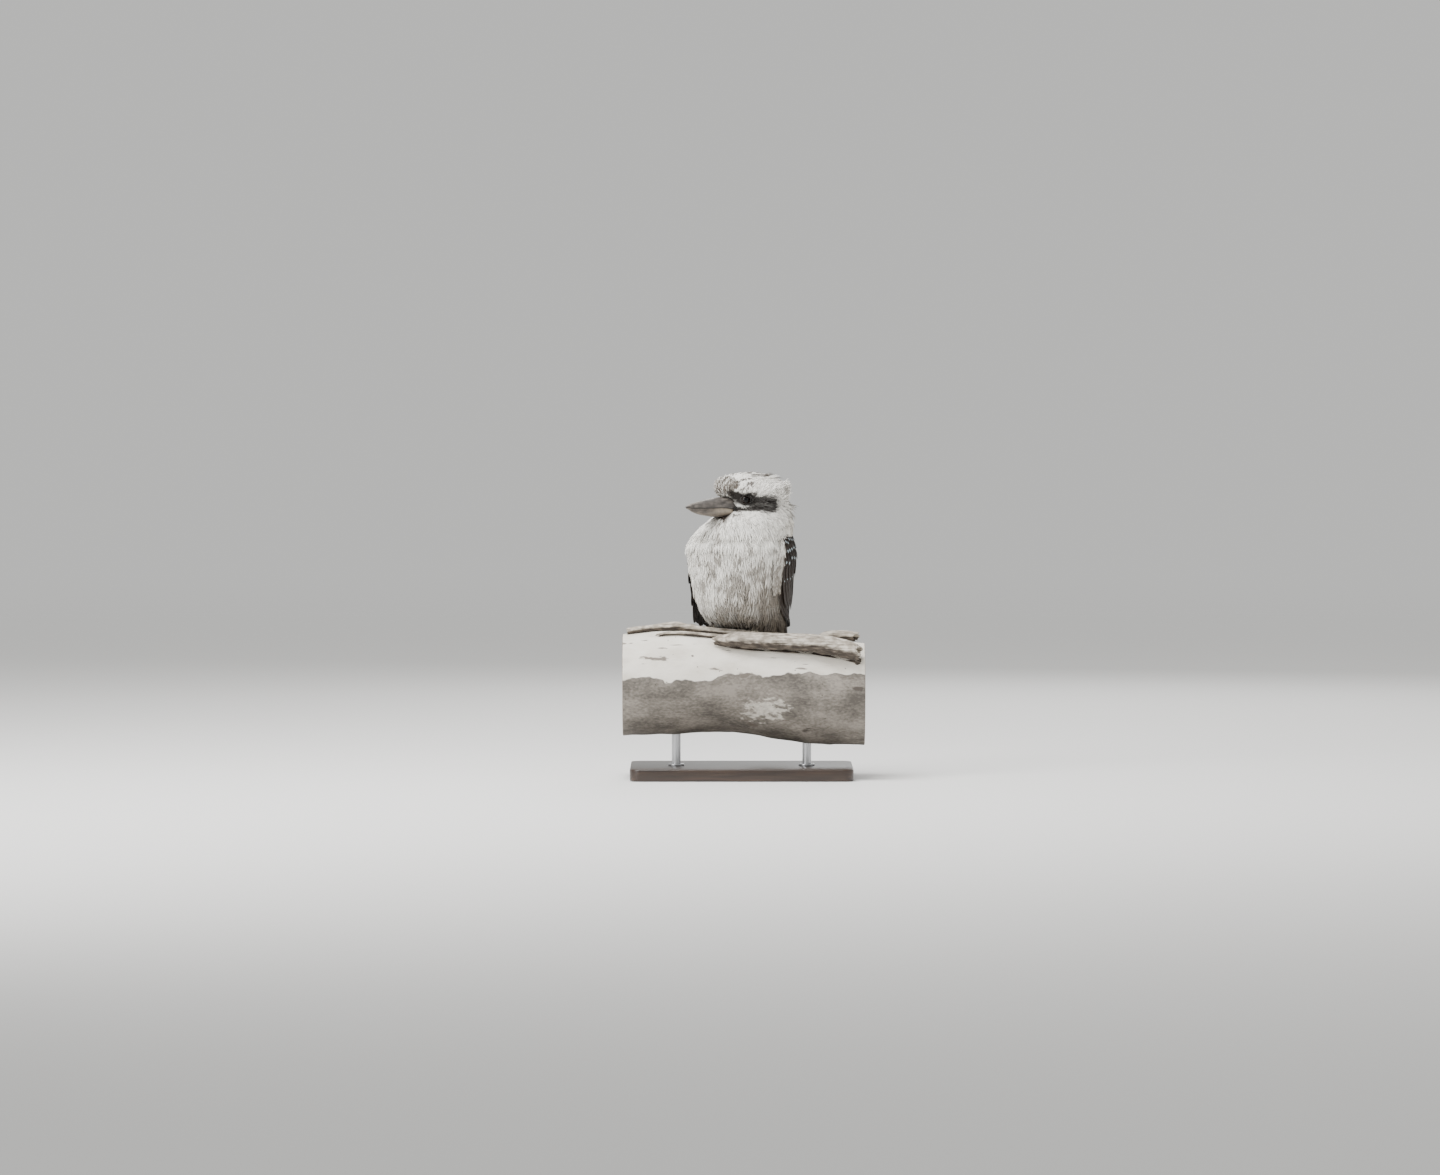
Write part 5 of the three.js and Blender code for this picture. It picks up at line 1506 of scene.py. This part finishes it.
def make_branch(bark, end):
    """The cut branch: the same line as the solid, with its skin's small swellings, and sawn ends."""
    x = np.linspace(BRANCH_LINE[0][0], BRANCH_LINE[-1][0], 130)[:, None]
    a = np.linspace(0, 2 * math.pi, 145)[None, :-1]
    middle, _ = read(BRANCH_LINE, x)
    r = branch_radius(x, a)
    r = r + 0.35 * np.sin(9 * a + x / 11) * np.sin(x / 17) + 0.25 * np.sin(14 * a - x / 7)
    # A swollen knot on the lower side, and a shallow dent beside it
    for knot_x, knot_a, high, wide in ((89, -1.9, 1.6, 9), (120, -1.5, 1.4, 7), (-30, -2.3, -0.9, 14)):
        r = r + high * np.exp(-(((x - knot_x) / wide) ** 2) - ((a - knot_a % (2 * math.pi)) * 68 / wide) ** 2)
    points = np.stack([x + 0 * a, BRANCH_Y + r * np.cos(a), middle + r * np.sin(a)], axis=-1)
    branch = tube("perch_branch_bark", points)
    branch.data.materials.append(bark)
    branch.data.materials.append(end)
    for polygon in branch.data.polygons:
        if abs(polygon.normal.x) > 0.9:
            polygon.material_index = 1
            polygon.use_smooth = False
    bevelled(branch, 1.2, 2, 60)
    finished(branch, None, "smooth_bark", "perch_branch")


# Rolls of shed bark: place along the branch, degrees forwards from its top, radius; then the section's start
# and sweep in degrees from straight up towards the front, the share that the curl winds in, and thickness.
# The flakes are small scraps that lie on the branch behind the bird
BARK = {
    "front": {
        "line": [
            [-40, 35, 6],
            [-24, 36.5, 9.5],
            [0, 37.8, 13.5],
            [64, 38, 14.5],
            [106, 38, 16],
            [146, 43, 15.5],
            [163, 47, 14],
        ],
        "start": -160, "sweep": 325, "wind": 0.3, "thick": 1.7,
    },
    "top": {
        "line": [
            [-157, 6, 5],
            [-119, 6, 5.2],
            [-89, 5, 7],
            [-70, 5, 6],
            [-42, 5, 5.5],
            [0, 5, 5.5],
            [34, 5, 5],
            [68, 6, 4.6],
        ],
        "start": -150, "sweep": 400, "wind": 0.35, "thick": 1.1,
    },
    "middle": {
        "line": [[-117, 23, 2], [-96, 22, 3], [-60, 20, 3.4], [-17, 19, 3.2], [10, 20, 2.2]],
        "start": -100, "sweep": 300, "wind": 0.3, "thick": 0.8,
    },
    "rear": {
        "line": [[98, -4, 3], [113, -5, 6.5], [135, -5, 8], [160, -5, 8]],
        "start": -120, "sweep": 300, "wind": 0.35, "thick": 1.2,
    },
    "flake_left": {
        "line": [[-86, -12, 3], [-76, -12, 5.5], [-66, -13, 6.6], [-57, -14, 6]],
        "start": -150, "sweep": 190, "wind": 0.1, "thick": 0.9,
    },
    "flake_rear": {
        "line": [[121, -14, 2.4], [130, -14, 4], [138, -13, 3.6], [146, -13, 2.2]],
        "start": -110, "sweep": 200, "wind": 0.1, "thick": 0.8,
    },
}
BARK_SINK = 0.12


def make_bark(name, bark):
    """A curled sheet of bark: its section winds in on itself, its ends are torn and its edge is notched."""
    rng = np.random.default_rng(SEED + len(name))
    line = curve_through(bark["line"], 10)
    x, lean, radius = (line[:, k : k + 1] for k in range(3))
    lean = np.radians(lean)
    far = branch_radius(x, math.pi / 2 + lean) + radius * (1 - BARK_SINK)
    y0, z0 = BRANCH_Y - far * np.sin(lean), read(BRANCH_LINE, x)[0] + far * np.cos(lean)
    share = np.linspace(0, 1, 56)[None, :]
    edge = 0.05 * np.sin(x / 5.3) + 0.04 * np.sin(x / 2.1 + 1)
    a = np.radians(bark["start"] + bark["sweep"] * share * (1 + edge * smooth(0.7, 1, share)))
    ripple = 1 + 0.03 * np.sin(3 * a + x / 9) + 0.015 * np.sin(8 * a - x / 4)
    r = (radius - bark["thick"] * 0.5) * (1 - bark["wind"] * share**1.5) * ripple
    torn = np.cumsum(rng.normal(0, 1.1, share.shape[1]))
    torn = 5 * (torn - torn.mean()) / max(np.abs(torn - torn.mean()).max(), 1e-6)
    reach = smooth(14, 0, x - x[0]) * (torn + 5) - smooth(14, 0, x[-1] - x) * (torn[::-1] + 5)
    points = np.stack([x + reach, y0 - r * np.sin(a), z0 + r * np.cos(a)], axis=-1)
    roll = grid("bark_" + name, points)
    modified(roll, "SOLIDIFY", thickness=bark["thick"] * MM, offset=0)
    smooth_outwards(roll)
    # Painted light and shade: each roll is painted pale on its upper half and dark below, by height over its
    # middle
    at = millimetres(vertices(roll))
    high = (at[:, 2] - np.interp(at[:, 0], x[:, 0], z0[:, 0])) / np.interp(at[:, 0], x[:, 0], radius[:, 0])
    add_colour(roll, "painted_top_light", np.repeat(smooth(-0.45, 0.45, high)[:, None], 3, axis=1))
    replaced = [n for n in nodes if n == "perch_bark_" + name]
    finished(roll, SHED_BARK, "shed_bark", *replaced)


# STAND

STAND = {"corner": 14, "edge": 1.8, "collar_radius": 11, "collar_height": 3.2, "collar_edge": 0.8}
# How far a rod is let into the branch and into the base
ROD_IN_BRANCH = 4
ROD_IN_BASE = 1


def make_stand(wood, steel):
    """A flat base with rounded corners and two rods, each in a low collar."""
    low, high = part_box("stand_base")
    deselect()
    bpy.ops.mesh.primitive_cube_add(size=1, location=(low + high) / 2, scale=high - low)
    base = named("base_board")
    bpy.ops.object.transform_apply(location=True, rotation=True, scale=True)
    bpy.ops.object.mode_set(mode="EDIT")
    bpy.ops.mesh.select_mode(type="EDGE")
    bpy.ops.mesh.select_all(action="DESELECT")
    bpy.ops.object.mode_set(mode="OBJECT")
    for edge in base.data.edges:
        a, b = (base.data.vertices[i].co for i in edge.vertices)
        edge.select = abs(a.z - b.z) > 0.01
    bpy.ops.object.mode_set(mode="EDIT")
    bpy.ops.mesh.bevel(offset=STAND["corner"] * MM, segments=16)
    bpy.ops.object.mode_set(mode="OBJECT")
    bevelled(base, STAND["edge"], 4, 50)
    only(base)
    bpy.ops.object.shade_smooth_by_angle(angle=math.radians(35))
    finished(base, wood, "stand_wood", "stand_base")
    for name in ("stand_rod_left", "stand_rod_right"):
        low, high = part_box(name)
        x, y, _ = (low + high) / 2
        top, bottom = high.z + ROD_IN_BRANCH * MM, low.z - ROD_IN_BASE * MM
        deselect()
        bpy.ops.mesh.primitive_cylinder_add(
            vertices=64, radius=(high.x - low.x) / 2, depth=top - bottom, location=(x, y, (top + bottom) / 2)
        )
        rod = named(name + "_steel")
        bpy.ops.mesh.primitive_cylinder_add(
            vertices=64, radius=STAND["collar_radius"] * MM, depth=STAND["collar_height"] * MM,
            location=(x, y, low.z + 1.2 * MM),
        )
        collar = bpy.context.object
        bevelled(collar, STAND["collar_edge"], 3, 50)
        only(rod)
        collar.select_set(True)
        bpy.ops.object.join()
        bpy.ops.object.transform_apply(location=True)
        bpy.ops.object.shade_smooth_by_angle(angle=math.radians(35))
        finished(rod, steel, "stand_steel", name)


# STAGE

FLOOR = {"radius_m": 9, "fade_m": (1, 8.5)}
# Lamps, all turned to the middle of the model: place and width in metres, watts
LAMPS = {
    "soft_top": ((-0.6, -0.5, 2.3), 1.4, 82),
    "soft_front": ((-2.2, -2.3, 1.5), 1.6, 80),
    "soft_side": ((2.4, -0.9, 1.1), 1.8, 6),
    "soft_back": ((0.6, 2.4, 1.6), 1.8, 26),
}
CAMERA = {"lens_mm": 200, "sensor_mm": 36, "distance_m": 10.8, "elevation": 2, "target": (-0.029, 0, 0.256)}


def make_floor():
    """A pale disc that fades out at its rim into the pale surroundings."""
    deselect()
    just_below = -0.5 * MM
    bpy.ops.mesh.primitive_circle_add(
        vertices=96, radius=FLOOR["radius_m"], fill_type="NGON", location=(0, 0, just_below)
    )
    floor = named("floor")
    bpy.ops.object.transform_apply(location=True)
    material, tree, _, place = material_with("pale_studio_floor", Base_Color=rgba("EBEAE8"), Roughness=0.9)
    material.surface_render_method = "BLENDED"
    far = node(tree, "VectorMath", (place,), operation="LENGTH")
    fade = node(tree, "MapRange", (far, *FLOOR["fade_m"]), interpolation_type="SMOOTHSTEP")
    solid = tree.nodes["Principled BSDF"].outputs[0]
    clear = node(tree, "BsdfTransparent")
    node(tree, "MixShader", (fade, solid, clear), into=tree.nodes["Material Output"].inputs["Surface"])
    floor.data.materials.append(material)


def stand_at(name, data, place, target):
    """A lamp or camera at a place, turned to its target."""
    obj = bpy.data.objects.new(name, data)
    bpy.context.scene.collection.objects.link(obj)
    obj.location = place
    obj.rotation_euler = (target - place).to_track_quat("-Z", "Y").to_euler()
    return obj


def make_stage():
    """The pale floor, soft lamps and a pale surrounding."""
    make_floor()
    for name, (place, width, watts) in LAMPS.items():
        data = bpy.data.lights.new(name, "AREA")
        data.shape = "DISK"
        data.size = width
        data.energy = watts
        stand_at(name, data, Vector(place), Vector((0, 0, 0.28)))
    world = bpy.data.worlds.new("pale_studio")
    bpy.context.scene.world = world
    world.use_nodes = True
    background = world.node_tree.nodes["Background"]
    background.inputs["Color"].default_value = rgba("E2E2E0")
    background.inputs["Strength"].default_value = 0.85


def make_camera():
    """A long lens at the photo's angle, a little above the level, framed as the photo is."""
    data = bpy.data.cameras.new("camera")
    data.lens = CAMERA["lens_mm"]
    data.sensor_width = CAMERA["sensor_mm"]
    data.clip_end = 100
    elevation = math.radians(CAMERA["elevation"])
    target = Vector(CAMERA["target"])
    place = target + Vector((0, -math.cos(elevation), math.sin(elevation))) * CAMERA["distance_m"]
    bpy.context.scene.camera = stand_at("camera", data, place, target)


# ASSEMBLY

COAT = feather_down()
WING = wing_vane_keratin()
TAIL_VANES = tail_vane_keratin()
# Shed bark: pale colours for the painted light on the tops of the rolls, dark ones for the painted shade
# under them
SHED_BARK = peeled_bark(
    "shed_bark_fibres",
    [(0.35, "6A6258"), (0.48, "9B9285"), (0.62, "CFC7BA")],
    [(0.35, "2A2420"), (0.5, "453D35"), (0.65, "6B6156")],
)

make_camera()
body = faces_of(*(nodes[name] for name in BODY))
skin = make_skin()
skin_tree = faces_of(skin)
make_coat(skin, skin_tree)
for wing_name in WINGS:
    make_wing(wing_name, body)
make_mantle(skin_tree)
make_tail()
darks = [(0.35, "2E2A28"), (0.5, "4B4642"), (0.68, "6B655F")]
# The upper bill's pale colour is a painted highlight along its ridge
make_mandible("bill_upper", True, bill_horn("upper_bill_horn", darks, "8E867C", "847C73"), "bill_dark")
pales = [(0.35, "3C3631"), (0.5, "5A524A"), (0.68, "7C7165")]
make_mandible("bill_lower", False, bill_horn("lower_bill_horn", pales, "B8A994", "8E8376"), "bill_pale")
eye_finishes = eye_glass()
lid_finish = lid_skin()
foot_finishes = foot_skin(), claw_horn()
for side, leg_name in ((1, "leg_left"), (-1, "leg_right")):
    make_eye(side, *eye_finishes)
    make_lids(side, lid_finish)
    make_leg(leg_name, side, *foot_finishes)
make_branch(smooth_gum_bark(), sawn_end())
for bark_name, bark in BARK.items():
    make_bark(bark_name, bark)
make_stand(waxed_hardwood(), brushed_steel())
make_stage()
